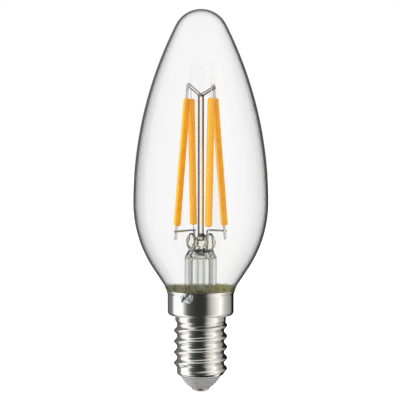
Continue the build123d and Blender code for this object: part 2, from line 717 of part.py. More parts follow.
def build_nodes():
    nodes = {}
    shell = make_cap_shell()
    neutral_wire = make_neutral_wire()
    nodes["glass_envelope"] = make_glass_envelope()
    nodes["cap_shell"] = shell
    nodes["insulator"] = make_insulator()
    nodes["contact_pin"] = make_contact_pin()
    nodes["cement_ring"] = make_cement_ring()
    nodes["side_solder"] = make_side_solder(shell, neutral_wire)

    leads = {}
    for name, quarter, lead_side, pass_side, arm_angle, rise, arm_side in FILAMENTS:
        frame = filament_frame(quarter, lead_side, pass_side, arm_angle, rise, arm_side)
        for piece, shape in make_filament(frame).items():
            nodes[f"filament_{name}_{piece}"] = shape
        if pass_side > 0:
            leads[lead_side] = make_lead(quarter, lead_side, pass_side)
            nodes[f"{name}_lead"] = leads[lead_side]
    for name, quarter, lead_side, pass_side, *_ in FILAMENTS:
        if pass_side < 0:
            nodes[f"{name}_branch"] = make_branch(quarter, lead_side, pass_side, leads[lead_side])

    top_wire = make_top_wire()
    rod = make_support_rod(top_wire)
    nodes["top_wire"] = top_wire
    nodes["support_rod"] = rod
    nodes["exhaust_tube"] = make_exhaust_tube()
    nodes["stem_flare"] = make_stem_flare([rod, *leads.values(), make_exhaust_socket()])

    nodes["driver_board"] = make_driver_board()
    nodes["smoothing_capacitor"] = make_capacitor()
    nodes["fuse_resistor"] = make_fuse_resistor()
    bridge_foot = board_foot + CHIP_SPACING
    nodes["bridge_rectifier"] = make_package(BRIDGE_WIDTH, BRIDGE_HEIGHT, BRIDGE_THICKNESS, bridge_foot)
    chip_foot = bridge_foot + BRIDGE_HEIGHT + CHIP_SPACING
    nodes["driver_chip"] = make_package(
        DRIVER_CHIP_WIDTH, DRIVER_CHIP_HEIGHT, DRIVER_CHIP_THICKNESS, chip_foot
    )
    nodes["live_wire"] = make_live_wire()
    nodes["neutral_wire"] = neutral_wire
    return nodes


os.makedirs("parts", exist_ok=True)
for node, shape in build_nodes().items():
    export_step(shape, f"parts/{node}.step")
    print(node, len(shape.solids()), round(shape.volume, 3))
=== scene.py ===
# %% [markdown]
# A small LED filament lamp, dressed for its portrait.
# The measured solids come in first and are never moved: they are the frame that every new piece is fitted to.
# All lengths below are in metres, so a size that is thought of in millimetres is written with MM.

# %% Load the frame
import math

import bpy
import numpy as np
from mathutils import Matrix, Quaternion, Vector, noise


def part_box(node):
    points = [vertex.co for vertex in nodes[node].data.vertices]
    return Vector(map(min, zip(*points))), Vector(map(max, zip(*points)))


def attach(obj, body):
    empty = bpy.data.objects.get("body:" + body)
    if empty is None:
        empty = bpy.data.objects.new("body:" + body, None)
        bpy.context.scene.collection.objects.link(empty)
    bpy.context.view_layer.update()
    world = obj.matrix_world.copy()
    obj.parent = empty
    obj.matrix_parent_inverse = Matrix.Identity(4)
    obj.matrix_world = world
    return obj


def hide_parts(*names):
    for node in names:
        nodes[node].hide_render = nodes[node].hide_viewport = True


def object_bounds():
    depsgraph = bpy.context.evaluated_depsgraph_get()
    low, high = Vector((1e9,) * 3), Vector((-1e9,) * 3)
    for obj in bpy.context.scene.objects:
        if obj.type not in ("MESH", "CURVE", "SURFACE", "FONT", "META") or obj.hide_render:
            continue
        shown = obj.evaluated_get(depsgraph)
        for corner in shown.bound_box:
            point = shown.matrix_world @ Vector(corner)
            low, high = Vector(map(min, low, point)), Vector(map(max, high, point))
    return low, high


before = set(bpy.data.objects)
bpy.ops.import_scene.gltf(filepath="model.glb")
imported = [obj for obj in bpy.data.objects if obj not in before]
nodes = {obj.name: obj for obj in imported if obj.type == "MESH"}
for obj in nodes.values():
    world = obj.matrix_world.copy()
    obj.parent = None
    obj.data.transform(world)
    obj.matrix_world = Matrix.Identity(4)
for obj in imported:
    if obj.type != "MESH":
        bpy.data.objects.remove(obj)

MM = 0.001
cad_low, cad_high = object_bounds()
lamp_height = cad_high.z
print("frame:", len(nodes), "nodes, lamp", round(lamp_height / MM, 2), "mm tall")

# %% [markdown]
# The camera stands where the photographer's did: a long lens, a little above the middle of the lamp.
# It could be moved by hand until the picture fits. Here the lamp's height in the picture gives the scale,
# and the scale and the distance together give the lens, so that nothing has to be tried out.
# A long lens keeps the sides of the cap nearly parallel, which is how product pictures are usually taken.

# %% Camera
PICTURE_SIDE = 400                  # pixels
TIP_ROW, CONTACT_ROW = 9.8, 391.6   # rows of the lamp's two ends
LAMP_COLUMN = 200.8                 # column of the lamp's axis at mid height
LAMP_LEAN = 0.1                     # degrees, the tip to the right
SENSOR = 36                         # Blender's camera sensor, in its own millimetres
CAMERA_DISTANCE = 350 * MM
CAMERA_HEIGHT = 59 * MM
NEAREST_SEEN = 10 * MM

pixels_per_metre = (CONTACT_ROW - TIP_ROW) / lamp_height
aim = Vector((
    (PICTURE_SIDE / 2 - LAMP_COLUMN) / pixels_per_metre,
    0,
    (CONTACT_ROW - PICTURE_SIDE / 2) / pixels_per_metre,
))
scene = bpy.context.scene
camera = bpy.data.objects.new("camera", bpy.data.cameras.new("camera"))
scene.collection.objects.link(camera)
camera.location = (aim.x, -CAMERA_DISTANCE, CAMERA_HEIGHT)
line_of_sight = aim - camera.location
roll = Quaternion((0, 0, 1), math.radians(LAMP_LEAN))
camera.rotation_euler = (line_of_sight.to_track_quat("-Z", "Y") @ roll).to_euler()
camera.data.sensor_width = SENSOR
camera.data.lens = SENSOR * pixels_per_metre * line_of_sight.length / PICTURE_SIDE
camera.data.clip_start = NEAREST_SEEN
scene.camera = camera
scene.view_settings.view_transform = "Standard"
print("camera: lens", round(camera.data.lens, 1), "looking at height", round(aim.z / MM, 1), "mm")

# %% [markdown]
# Materials and skies are nets of nodes. In the editor a node is placed and wired by hand, and in a script
# each one would take several lines. So a few helpers come first: one places a node and fills its sockets,
# and the others are the handful of sums that turn up again and again.

# %% Node helpers
WHITE = (1.0, 1.0, 1.0)


def fill(tree, socket, value):
    """Links a socket, or sets its plain value; a colour gets its alpha."""
    if isinstance(value, bpy.types.NodeSocket):
        tree.links.new(value, socket)
    else:
        socket.default_value = (*value[:3], 1) if socket.type == "RGBA" else value


def add_node(tree, kind, settings=(), **inputs):
    """A new node with its settings made, and its inputs filled by name, or by number as i0, i1 and so on."""
    node = tree.nodes.new(kind)
    for name, value in dict(settings).items():
        setattr(node, name, value)
    for key, value in inputs.items():
        number = key[1:]
        socket = node.inputs[int(number) if number.isdigit() else key.replace("_", " ")]
        fill(tree, socket, value)
    return node


def calculate(tree, operation, *values):
    """One step of arithmetic on numbers or sockets."""
    inputs = {f"i{k}": value for k, value in enumerate(values)}
    return add_node(tree, "ShaderNodeMath", {"operation": operation}, **inputs).outputs[0]


def blend_colours(tree, share, first, second):
    """From the first colour to the second, by a share from 0 to 1."""
    return add_node(tree, "ShaderNodeMix", {"data_type": "RGBA"}, i0=share, i6=first, i7=second).outputs[2]


def smooth_step(tree, value, low, high):
    """From 0 where the value is low to 1 where it is high, with soft ends."""
    settings = {"interpolation_type": "SMOOTHSTEP"}
    node = add_node(tree, "ShaderNodeMapRange", settings, Value=value, From_Min=low, From_Max=high)
    return node.outputs["Result"]


def more_than(tree, count, limit):
    """1 where a whole count is above the limit, 0 elsewhere."""
    return calculate(tree, "GREATER_THAN", count, limit + 0.5)


def grey(level, tint=WHITE):
    return tuple(level * share for share in tint)


print("node helpers are ready")

# %% [markdown]
# Polished metal and clear glass have almost no colour of their own: they show the room.
# A photographer stands white and black cards round a lamp for that. Here the cards are drawn in the sky,
# as a ramp around the horizon, so nothing stands about and no other view finds the back of a card:
# a dark camera side, a tall white panel at the left, a warmer one at the right, a bright ceiling, a dark
# floor and a white table top behind the lamp.

# %% Studio: panels around the lamp
# direction from the camera side, in degrees to the right, and the brightness there
PANELS = (
    (-180, 0.02), (-150, 0.15), (-116, 0.25), (-106, 1.15), (-66, 1.2), (-58, 0.55), (-46, 0.15),
    (-30, 0.07), (-14, 0.04), (12, 0.04), (20, 0.08), (34, 0.5), (50, 0.85), (74, 1.25), (92, 0.65),
    (116, 0.38), (128, 0.3), (140, 0.01), (180, 0.02),
)
WARM, COOL = (1.0, 0.97, 0.93), (0.93, 1.0, 0.95)
COOL_REACH = 32             # degrees each side of the camera
CEILING_LIGHT = 1.0
CEILING_SHARE = 0.6         # the rest of the ceiling repeats the panel under it
CEILING_RISE = (32, 58)     # degrees above the horizon, from no ceiling to all of it
FLOOR_LIGHT = 0.02
FLOOR_SHARE = 0.85          # the rest of the floor repeats the panel over it
FLOOR_FALL = (-80, -56)     # degrees, from all floor to none of it
TABLE_LIGHT = 1.0
TABLE_FALL = (-35, -41)     # degrees, from no table behind the lamp to all of it
TABLE_BEHIND = (0.42, 0.55)     # the same by the share of a direction that points away from the camera


def at_elevation(tree, height, degrees):
    """From 0 at the first elevation to 1 at the second, by the upward part of a direction."""
    return smooth_step(tree, height, *(math.sin(math.radians(angle)) for angle in degrees))


def panel_tint(degrees):
    """Cool on the dark camera side, plain at the left and warm at the right."""
    if abs(degrees) < COOL_REACH:
        return COOL
    return WARM if degrees > 0 else WHITE


def panel_ramp(tree, bearing):
    """The panels all round, by the bearing of a direction in radians."""
    turn = calculate(tree, "MULTIPLY_ADD", bearing, 0.5 / math.pi, 0.5)
    ramp = add_node(tree, "ShaderNodeValToRGB", Fac=turn)
    stops = ramp.color_ramp.elements
    while len(stops) < len(PANELS):
        stops.new(0.5)
    for stop, (degrees, level) in zip(stops, PANELS):
        stop.position = (degrees + 180) / 360
        stop.color = (*grey(level, panel_tint(degrees)), 1)
    return ramp.outputs["Color"]


def panelled_room(tree, bearing, away, height):
    """Panels, floor, table and ceiling, by the parts of a direction."""
    panels = panel_ramp(tree, bearing)
    floor = blend_colours(tree, FLOOR_SHARE, panels, grey(FLOOR_LIGHT))
    walls = blend_colours(tree, at_elevation(tree, height, FLOOR_FALL), floor, panels)
    low = at_elevation(tree, height, TABLE_FALL)
    table = calculate(tree, "MULTIPLY", low, smooth_step(tree, away, *TABLE_BEHIND))
    walls = blend_colours(tree, table, walls, grey(TABLE_LIGHT))
    ceiling = calculate(tree, "MULTIPLY", at_elevation(tree, height, CEILING_RISE), CEILING_SHARE)
    return blend_colours(tree, ceiling, walls, grey(CEILING_LIGHT))


print("panels:", len(PANELS), "stops around the horizon")

# %% [markdown]
# Glass looks like glass by its dark lines, and those are the dark parts of the room seen round a corner.
# A light path knows how often it went into or out of glass, and that tells which corner it came round.
# A ray that was only bent sees plain white past the bulb's thin walls, and past the cane and the stem it
# sees white strips with gaps between them, all round the room, so that every side view has the same lines.

# %% Studio: what bent rays see
BULB_WALLS = 4          # surfaces that a ray straight through the bulb passes
CANE_WALLS = 6          # the same with the solid cane in its way
CANE_GAP = (0.12, 0.10, 0.07)
TUBE_GAP = 0.55
# strips round the room, and the cosine at which a gap ends and a strip starts
CANE_STRIPS = (8, -0.7, -0.2)
TUBE_STRIPS = (8, -0.35, 0.3)


def white_strips(tree, bearing, count, gap, strip):
    """1 on the strips and 0 in the gaps between them."""
    wave = calculate(tree, "COSINE", calculate(tree, "MULTIPLY", bearing, float(count)))
    return smooth_step(tree, wave, gap, strip)


def bent_light(tree, bearing, surfaces):
    by_cane = blend_colours(tree, white_strips(tree, bearing, *CANE_STRIPS), CANE_GAP, WHITE)
    by_tube = blend_colours(tree, white_strips(tree, bearing, *TUBE_STRIPS), grey(TUBE_GAP), WHITE)
    bent = blend_colours(tree, more_than(tree, surfaces, CANE_WALLS), by_cane, by_tube)
    return blend_colours(tree, more_than(tree, surfaces, BULB_WALLS), WHITE, bent)


print("strips:", CANE_STRIPS[0], "for the cane,", TUBE_STRIPS[0], "for the stem")

# %% [markdown]
# A ray that was mirrored on its way is the other kind. Trapped in the bulb's own wall, it draws the
# bulb's dark outline. Sent back by a wire inside the bulb, it sees a white front and dark sides, which
# gives the wire a bright middle and dark edges. Sent back by the stem's glass, it sees a soft grey that is
# white at the front and the back. The camera itself always sees plain white behind the lamp.

# %% Studio: what mirrored rays see
OUTLINE_LIGHT, OUTLINE_SKY = 0.13, 0.35
OUTLINE_RISE = (10, 60)     # degrees above the horizon, from the one to the other
WIRE_DARK = 0.01
WIRE_FRONT = (0.2, 0.55)    # share of a direction that points to the camera, from dark to white
WIRE_FLOOR = (-50, -25)     # degrees, from a dark floor to none of it
EDGE_LIGHT = 0.45
EDGE_ENDS = (0.45, 0.75)    # share that points to the front or the back, from that light to white


def mirrored_light(tree, away, towards, height, surfaces):
    risen = at_elevation(tree, height, OUTLINE_RISE)
    outline = blend_colours(tree, risen, grey(OUTLINE_LIGHT), grey(OUTLINE_SKY))
    above_floor = at_elevation(tree, height, WIRE_FLOOR)
    lit = calculate(tree, "MULTIPLY", smooth_step(tree, towards, *WIRE_FRONT), above_floor)
    wires = blend_colours(tree, lit, grey(WIRE_DARK), WHITE)
    at_ends = smooth_step(tree, calculate(tree, "ABSOLUTE", away), *EDGE_ENDS)
    edges = blend_colours(tree, at_ends, grey(EDGE_LIGHT), WHITE)
    inner = blend_colours(tree, more_than(tree, surfaces, BULB_WALLS), wires, edges)
    return blend_colours(tree, more_than(tree, surfaces, BULB_WALLS // 2), outline, inner)


def make_studio():
    world = bpy.data.worlds.new("studio")
    scene.world = world
    world.use_nodes = True
    tree = world.node_tree
    direction = add_node(tree, "ShaderNodeTexCoord").outputs["Generated"]
    right, away, height = add_node(tree, "ShaderNodeSeparateXYZ", Vector=direction).outputs
    towards = calculate(tree, "MULTIPLY", away, -1.0)
    bearing = calculate(tree, "ARCTAN2", right, towards)
    light_path = add_node(tree, "ShaderNodeLightPath").outputs
    surfaces = light_path["Transmission Depth"]

    bent = bent_light(tree, bearing, surfaces)
    mirrored = mirrored_light(tree, away, towards, height, surfaces)
    in_glass = blend_colours(tree, more_than(tree, light_path["Glossy Depth"], 0), bent, mirrored)
    room = panelled_room(tree, bearing, away, height)
    seen = blend_colours(tree, more_than(tree, surfaces, 0), room, in_glass)
    seen = blend_colours(tree, light_path["Is Camera Ray"], seen, WHITE)
    tree.links.new(seen, tree.nodes["Background"].inputs["Color"])
    return world


print("studio:", len(make_studio().node_tree.nodes), "nodes in the sky")

# %% [markdown]
# The floor is a plain pale sheet under the contact. A real white sheet under soft light is a little
# below white in a picture. More light would bleach the lamp too, so the camera gets the missing part as a
# faint glow, and the lamp's own shadow still darkens it. The lamp's metal looks at the studio instead.

# %% Floor
FLOOR_REACH = 6.0
FLOOR_GLOW = 0.72
PAPER = {"Base Color": grey(0.88), "Roughness": 0.9, "Specular IOR Level": 0.0, "Emission Color": WHITE}


def new_finish(name, plain):
    """A material with the plain numbers and colours of its shader set."""
    material = bpy.data.materials.new(name)
    material.use_nodes = True
    tree = material.node_tree
    shader = tree.nodes["Principled BSDF"]
    for socket, value in plain.items():
        fill(tree, shader.inputs[socket], value)
    return material, tree, shader


def hide_from_mirrors(thing):
    """Metal and glass see the studio in its place."""
    thing.visible_glossy = False
    thing.visible_transmission = False


def make_floor():
    material, tree, shader = new_finish("pale_paper", PAPER)
    to_camera = add_node(tree, "ShaderNodeLightPath").outputs["Is Camera Ray"]
    tree.links.new(calculate(tree, "MULTIPLY", to_camera, FLOOR_GLOW), shader.inputs["Emission Strength"])
    mesh = bpy.data.meshes.new("floor")
    signs = ((-1, -1), (1, -1), (1, 1), (-1, 1))
    mesh.from_pydata([(x * FLOOR_REACH, y * FLOOR_REACH, 0) for x, y in signs], [], [(0, 1, 2, 3)])
    mesh.materials.append(material)
    floor = bpy.data.objects.new("floor", mesh)
    scene.collection.objects.link(floor)
    hide_from_mirrors(floor)


make_floor()
print("floor:", 2 * FLOOR_REACH, "m square")

# %% [markdown]
# Two soft lamps light what is not shiny: a large one at the left for the pale side of the filaments and
# a weaker one at the right. Area lamps are used because a small lamp would throw hard shadows.
# They are hidden from mirrors, since the studio panels already stand there.

# %% Soft lamps
# name, place, side of the square, power in watts
LAMPS = (
    ("left_softbox", Vector((-0.68, 0.0, 0.20)), 0.5, 4.6),
    ("right_softbox", Vector((0.64, -0.20, 0.06)), 0.4, 1.0),
)


def make_lamp(name, place, side, power):
    light = bpy.data.lights.new(name, "AREA")
    light.size = side
    light.energy = power
    lamp = bpy.data.objects.new(name, light)
    scene.collection.objects.link(lamp)
    lamp.location = place
    lamp.rotation_euler = (aim - place).to_track_quat("-Z", "Y").to_euler()
    hide_from_mirrors(lamp)


for lamp_facts in LAMPS:
    make_lamp(*lamp_facts)
print("lamps:", ", ".join(facts[0] for facts in LAMPS))

# %% [markdown]
# Most of this lamp was turned, blown or pressed, so its outlines are lines and arcs in (radius, height).
# They could be drawn as curves and sampled, but a few helpers give the points directly: an arc, a line
# with its corners softened, and a line cut into steps short enough for a smooth mesh.

# %% Helpers for outlines
LARGEST_CORNER = 0.45       # a softened corner takes at most this share of a run
CORNER_STEPS = 6


def arc(centre, radius, start, turn, steps):
    """Points on an arc, with its start and turn in degrees."""
    angles = [math.radians(start + turn * k / steps) for k in range(steps + 1)]
    return [(centre[0] + radius * math.cos(a), centre[1] + radius * math.sin(a)) for a in angles]


def divided(points, longest):
    """The same line with no step longer than the given one."""
    line = [points[0]]
    for start, end in zip(points, points[1:]):
        count = max(1, math.ceil(math.dist(start, end) / longest))
        line += [tuple(np.add(start, np.subtract(end, start) * k / count)) for k in range(1, count + 1)]
    return line


def softened(points, reach):
    """The same line with each inner corner rounded, from a reach before it to a reach after it."""
    line = [points[0]]
    for before, corner, after in zip(points, points[1:], points[2:]):
        before, corner, after = np.array(before), np.array(corner), np.array(after)
        start = corner + (before - corner) * min(LARGEST_CORNER, reach / np.linalg.norm(before - corner))
        end = corner + (after - corner) * min(LARGEST_CORNER, reach / np.linalg.norm(after - corner))
        for k in range(CORNER_STEPS + 1):
            t = k / CORNER_STEPS
            line.append(tuple(start * (1 - t) ** 2 + corner * 2 * t * (1 - t) + end * t**2))
    return line + [points[-1]]


def eased(share):
    """The same share with a soft start and end."""
    return share * share * (3 - 2 * share)


print("outline helpers are ready")

# %% [markdown]
# One helper turns such an outline about the axis, going up the outside and down the inside. A screw
# modifier would do the same, but then the thread could not be pressed in. Where a surface is pressed, its
# normals are felt by a small nudge along it and one round it, so that it shines as smoothly as the metal.

# %% Helpers for turned pieces
TINY = 1e-7         # a radius below this is a point on the axis
NUDGE = 1e-5        # metres along a surface, and radians round it


def skinned(name, points, faces):
    mesh = bpy.data.meshes.new(name)
    mesh.from_pydata(points, [], faces)
    mesh.shade_smooth()
    return mesh


def stitched(low, high):
    """Faces between two rings of point numbers; a ring of one point is a pole."""
    count = max(len(low), len(high))
    faces = []
    for k in range(count):
        ahead = (k + 1) % count
        corners = (low[k % len(low)], low[ahead % len(low)], high[ahead % len(high)], high[k % len(high)])
        faces.append(tuple(dict.fromkeys(corners)))
    return faces


def spokes(radius, segments):
    """Angles round the axis, or a single one for a point on the axis itself."""
    return [2 * math.pi * k / segments for k in range(segments if radius > TINY else 1)]


def felt_normals(outline, segments, point):
    runs = np.gradient(np.array(outline), axis=0)
    runs *= NUDGE / np.linalg.norm(runs, axis=1)[:, None]
    normals = []
    for (radius, height), (out, up) in zip(outline, runs):
        for angle in spokes(radius, segments):
            along = point(radius + out, angle, height + up) - point(radius - out, angle, height - up)
            round_it = point(radius, angle + NUDGE, height) - point(radius, angle - NUDGE, height)
            faces_out = round_it.cross(along) if radius > TINY else Vector((0, 0, -out))
            normals.append(faces_out.normalized())
    return normals


def turned(name, outline, segments, press=None):
    """Mesh turned from the outline; press(radius, angle, height) may push a point in or out."""
    def point(radius, angle, height):
        reach = press(radius, angle, height) if press else radius
        return Vector((reach * math.cos(angle), reach * math.sin(angle), height))

    points, rings = [], []
    for radius, height in outline:
        ring = [point(radius, angle, height) for angle in spokes(radius, segments)]
        rings.append(range(len(points), len(points) + len(ring)))
        points += ring
    pairs = list(zip(rings, rings[1:]))
    if len(rings[0]) > 1 and len(rings[-1]) > 1:
        pairs.append((rings[-1], rings[0]))
    mesh = skinned(name, points, [face for pair in pairs for face in stitched(*pair)])
    if press:
        mesh.normals_split_custom_set_from_vertices(felt_normals(outline, segments, point))
    return mesh


print("turning helpers are ready")

# %% [markdown]
# A mesh becomes a piece of the lamp in the same few steps each time, so they are one helper. The piece is
# placed and painted, it rides on the lamp's one body, and it stands for the solid that it replaces, which
# stays in the frame but is no longer seen.

# %% Helper for new pieces
def add_piece(name, mesh, material, slot, *stands_for, place=None):
    """The slot is not used; stands_for names the solids that the piece replaces."""
    piece = bpy.data.objects.new(name, mesh)
    scene.collection.objects.link(piece)
    if place:
        piece.matrix_world = place
    mesh.materials.append(material)
    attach(piece, "root")
    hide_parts(*stands_for)
    print(name, "-", len(mesh.polygons), "faces, stands for", ", ".join(stands_for))
    return piece


# %% [markdown]
# Three effects turn up in many of the finishes: a slow drift between two tones, fine marks left by
# handling, and a fine grain. Each could be wired anew in every material, but as a node group it is made
# once, with its own numbers in each material. They read the piece's own coordinates, so nothing slides
# when the camera moves. The drift comes first: noise, with soft steps, goes from one tone to the other.

# %% Shared effects: a drift of tone
COLOUR, NUMBER = "NodeSocketColor", "NodeSocketFloat"
DRIFT_EDGE = (0.32, 0.68)       # noise level from the dark tone to the light one


def new_group(name, inputs, outputs):
    """An empty group with its sockets made, its inputs to read from and its outputs to link to."""
    group = bpy.data.node_groups.new(name, "ShaderNodeTree")
    for socket, kind, value in inputs:
        group.interface.new_socket(socket, in_out="INPUT", socket_type=kind).default_value = value
    for socket, kind in outputs:
        group.interface.new_socket(socket, in_out="OUTPUT", socket_type=kind)
    return group, group.nodes.new("NodeGroupInput").outputs, group.nodes.new("NodeGroupOutput").inputs


def own_coordinates(tree):
    return add_node(tree, "ShaderNodeTexCoord").outputs["Object"]


def own_axis(tree, axis):
    return add_node(tree, "ShaderNodeSeparateXYZ", Vector=own_coordinates(tree)).outputs[axis]


def noise_of(tree, scale, detail, vector=None):
    vector = vector or own_coordinates(tree)
    return add_node(tree, "ShaderNodeTexNoise", Vector=vector, Scale=scale, Detail=detail).outputs["Fac"]


def make_tone_drift():
    """A colour that wanders between two tones, with patches per metre as its scale."""
    group, given, result = new_group(
        "tone_drift",
        [("Light Tone", COLOUR, (1, 1, 1, 1)), ("Dark Tone", COLOUR, (0, 0, 0, 1)), ("Scale", NUMBER, 300.0)],
        [("Color", COLOUR)],
    )
    share = smooth_step(group, noise_of(group, given["Scale"], detail=3.0), *DRIFT_EDGE)
    group.links.new(blend_colours(group, share, given["Dark Tone"], given["Light Tone"]), result["Color"])
    return group


tone_drift = make_tone_drift()
print("shared effect:", tone_drift.name)

# %% [markdown]
# Metal that has been handled has fine scratches, and dull patches where they lie close. Stretched noise
# gives the scratches, long round the axis as a cloth or a thread leaves them, and a slower noise gathers
# them into patches. A grain, as on moulded plastic or cement, is plain fine noise.

# %% Shared effects: handling marks and grain
LINE_STRETCH = (0.25, 0.25, 3.0)    # marks are long round the axis and short along it
PATCH_SCALE = 420.0
PATCH_EDGE = (0.45, 0.75)       # noise level from a polished patch to a dull one


def make_handling_marks():
    """Fine scratches round the axis and small dull patches: a roughness and a height."""
    group, given, result = new_group(
        "handling_marks",
        [("Polish", NUMBER, 0.1), ("Dullness", NUMBER, 0.1), ("Scale", NUMBER, 900.0)],
        [("Roughness", NUMBER), ("Height", NUMBER)],
    )
    own = own_coordinates(group)
    along = add_node(group, "ShaderNodeVectorMath", {"operation": "MULTIPLY"}, i0=own, i1=LINE_STRETCH)
    lines = noise_of(group, given["Scale"], detail=4.0, vector=along.outputs[0])
    patches = smooth_step(group, noise_of(group, PATCH_SCALE, detail=2.0), *PATCH_EDGE)
    dull = calculate(group, "MULTIPLY", calculate(group, "MULTIPLY", lines, patches), given["Dullness"])
    group.links.new(calculate(group, "ADD", given["Polish"], dull), result["Roughness"])
    group.links.new(lines, result["Height"])
    return group


def make_fine_grain():
    """Grains and the hollows between them, as a height."""
    group, given, result = new_group("fine_grain", [("Scale", NUMBER, 2500.0)], [("Height", NUMBER)])
    group.links.new(noise_of(group, given["Scale"], detail=6.0), result["Height"])
    return group


handling_marks = make_handling_marks()
fine_grain = make_fine_grain()
print("shared effects:", handling_marks.name, fine_grain.name)

# %% [markdown]
# Nearly every surface of the lamp is one of two kinds: a matt or satin one whose tone drifts a little and
# whose skin has a grain, or bright metal with marks of handling. Each kind is one function that places
# the shared effects, so a finish is one line with its colours and sizes.

# %% Two kinds of finish
GRAIN_DEPTH = 0.02 * MM
MARK_DEPTH = 0.004 * MM
PLATE_PATCHES = 350.0


def place_group(tree, group, **values):
    return add_node(tree, "ShaderNodeGroup", {"node_tree": group}, **values).outputs


def relief(tree, shader, height, depth):
    """A bump of the given depth, in metres, on the shader."""
    bump = add_node(tree, "ShaderNodeBump", Height=height, Distance=depth, Strength=1.0)
    tree.links.new(bump.outputs["Normal"], shader.inputs["Normal"])


def two_tone(name, plain, light, dark, patches, grains, depth=GRAIN_DEPTH):
    """A moulded, baked or frozen surface: two tones that drift, with a fine grain."""
    material, tree, shader = new_finish(name, plain)
    tones = place_group(tree, tone_drift, Light_Tone=light, Dark_Tone=dark, Scale=patches)
    tree.links.new(tones["Color"], shader.inputs["Base Color"])
    relief(tree, shader, place_group(tree, fine_grain, Scale=grains)["Height"], depth)
    return material


def bright_metal(name, light, dark, polish, dullness, scratches, depth=MARK_DEPTH):
    """Plated or drawn metal: two close tones, and marks from handling."""
    material, tree, shader = new_finish(name, {"Metallic": 1.0})
    tones = place_group(tree, tone_drift, Light_Tone=light, Dark_Tone=dark, Scale=PLATE_PATCHES)
    tree.links.new(tones["Color"], shader.inputs["Base Color"])
    marks = place_group(tree, handling_marks, Polish=polish, Dullness=dullness, Scale=scratches)
    tree.links.new(marks["Roughness"], shader.inputs["Roughness"])
    relief(tree, shader, marks["Height"], depth)
    return material


def recolour(material, share, other):
    """Another colour where the share is 0, the finish's own where it is 1."""
    tree = material.node_tree
    socket = tree.nodes["Principled BSDF"].inputs["Base Color"]
    own = socket.links[0].from_socket
    tree.links.new(blend_colours(tree, share, other, own), socket)


print("finishes: a matt kind and a metal kind")

# %% [markdown]
# The bulb is blown glass: an outside and an inside skin, a wall apart, closed at the neck's edge.
# A single skin would render as a solid lens, so both are needed. The outline is the blown form: a straight
# neck, a hollow curve, a cone, the belly and the long flank that runs into the round tip. Its arcs are
# worked out so that each runs into the next without a corner, as blown glass does.

# %% Blown bulb: its outline
GLASS_WALL = 0.55 * MM
NECK_STRAIGHT = 1.4 * MM
NECK_CURVE = 8.0 * MM
SHOULDER_ANGLE = 33.4
BELLY_HEIGHT = 49.0 * MM
TIP_RADIUS = 7.3 * MM
NECK_STEPS, SHOULDER_STEPS, FLANK_STEPS, TIP_STEPS = 24, 30, 56, 26
LONGEST_GLASS_STEP = 1.2 * MM
glass_low, glass_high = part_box("glass_envelope")
stem_low, stem_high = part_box("stem_flare")
belly = glass_high.x
neck_edge = glass_low.z
neck_bore = stem_high.x         # the stem's flare fills the neck
neck_outside = neck_bore + GLASS_WALL


def bulb_outline(inset):
    """From the neck's edge to the tip, drawn in by the inset."""
    slope = math.radians(SHOULDER_ANGLE)
    curve_centre = (neck_outside + NECK_CURVE, neck_edge + NECK_STRAIGHT)
    rise = BELLY_HEIGHT - curve_centre[1]
    overhang = (curve_centre[0] - belly) * math.cos(slope)
    lower = (rise * math.sin(slope) + overhang - NECK_CURVE) / (1 - math.cos(slope))
    tip_centre = glass_high.z - TIP_RADIUS
    climb = tip_centre - BELLY_HEIGHT
    flank = (belly**2 + climb**2 - TIP_RADIUS**2) / (2 * (belly - TIP_RADIUS))
    lean = math.degrees(math.atan2(climb, flank - belly))
    line = [(neck_outside - inset, neck_edge)]
    line += arc(curve_centre, NECK_CURVE + inset, 180, -SHOULDER_ANGLE, NECK_STEPS)
    line += arc((belly - lower, BELLY_HEIGHT), lower - inset, -SHOULDER_ANGLE, SHOULDER_ANGLE, SHOULDER_STEPS)
    line += arc((belly - flank, BELLY_HEIGHT), flank - inset, 0, lean, FLANK_STEPS)[1:]
    line += arc((0, tip_centre), TIP_RADIUS - inset, lean, 90 - lean, TIP_STEPS)[1:-1]
    return divided(line + [(0.0, glass_high.z - inset)], LONGEST_GLASS_STEP)


outside_skin = bulb_outline(0)
inside_skin = bulb_outline(GLASS_WALL)
print("bulb outline:", len(outside_skin), "points, belly", round(2 * belly / MM, 2), "mm across")

# %% [markdown]
# Glass bends what is behind it and mirrors the room a little. Two allowances keep it honest in a short
# render: light on its way to a matt surface passes through as if the glass were not there, and the
# surface carries only the faintest ripple from blowing.
# Thick worked glass, which comes further down, also looks dark where it turns away, because rays are bent
# furthest there and see the dark room. That dark edge is painted: the same function can be given a painted
# edge colour, which darkens the tint where the glass turns away, and the heights between which a thin
# wall becomes solid glass.

# %% Blown bulb: its glass
BULB_SEGMENTS = 160
BULB_TINT, BULB_INDEX = (0.998, 1.0, 0.998), 1.47
BULB_RIPPLES = 60.0
RIPPLE_DEPTH = 0.004 * MM
THIN_SHARE = 0.35       # a thin wall's edge is this much of a solid one's


def tint_with_painted_edge(tree, tint, edge, thickens):
    """Painted shade: the tint goes to a dark edge colour where the glass turns away.
    Edge: its colour, and how far the glass is turned away where it starts and where it is full.
    Thickens: the heights of the last thin wall and the first solid glass, and the solid glass's tint."""
    painted_edge_colour, starts, full = edge
    # Painted shade: the tint goes to the dark edge colour where the glass turns away.
    turned_away = add_node(tree, "ShaderNodeLayerWeight", Blend=0.5).outputs["Facing"]
    share = smooth_step(tree, turned_away, starts, full)
    if thickens:
        low, high, solid_tint = thickens
        solid = smooth_step(tree, own_axis(tree, "Z"), low, high)
        tint = blend_colours(tree, solid, tint, solid_tint)
        strength = calculate(tree, "MULTIPLY_ADD", solid, 1 - THIN_SHARE, THIN_SHARE)
        share = calculate(tree, "MULTIPLY", share, strength)
    return blend_colours(tree, share, tint, painted_edge_colour)


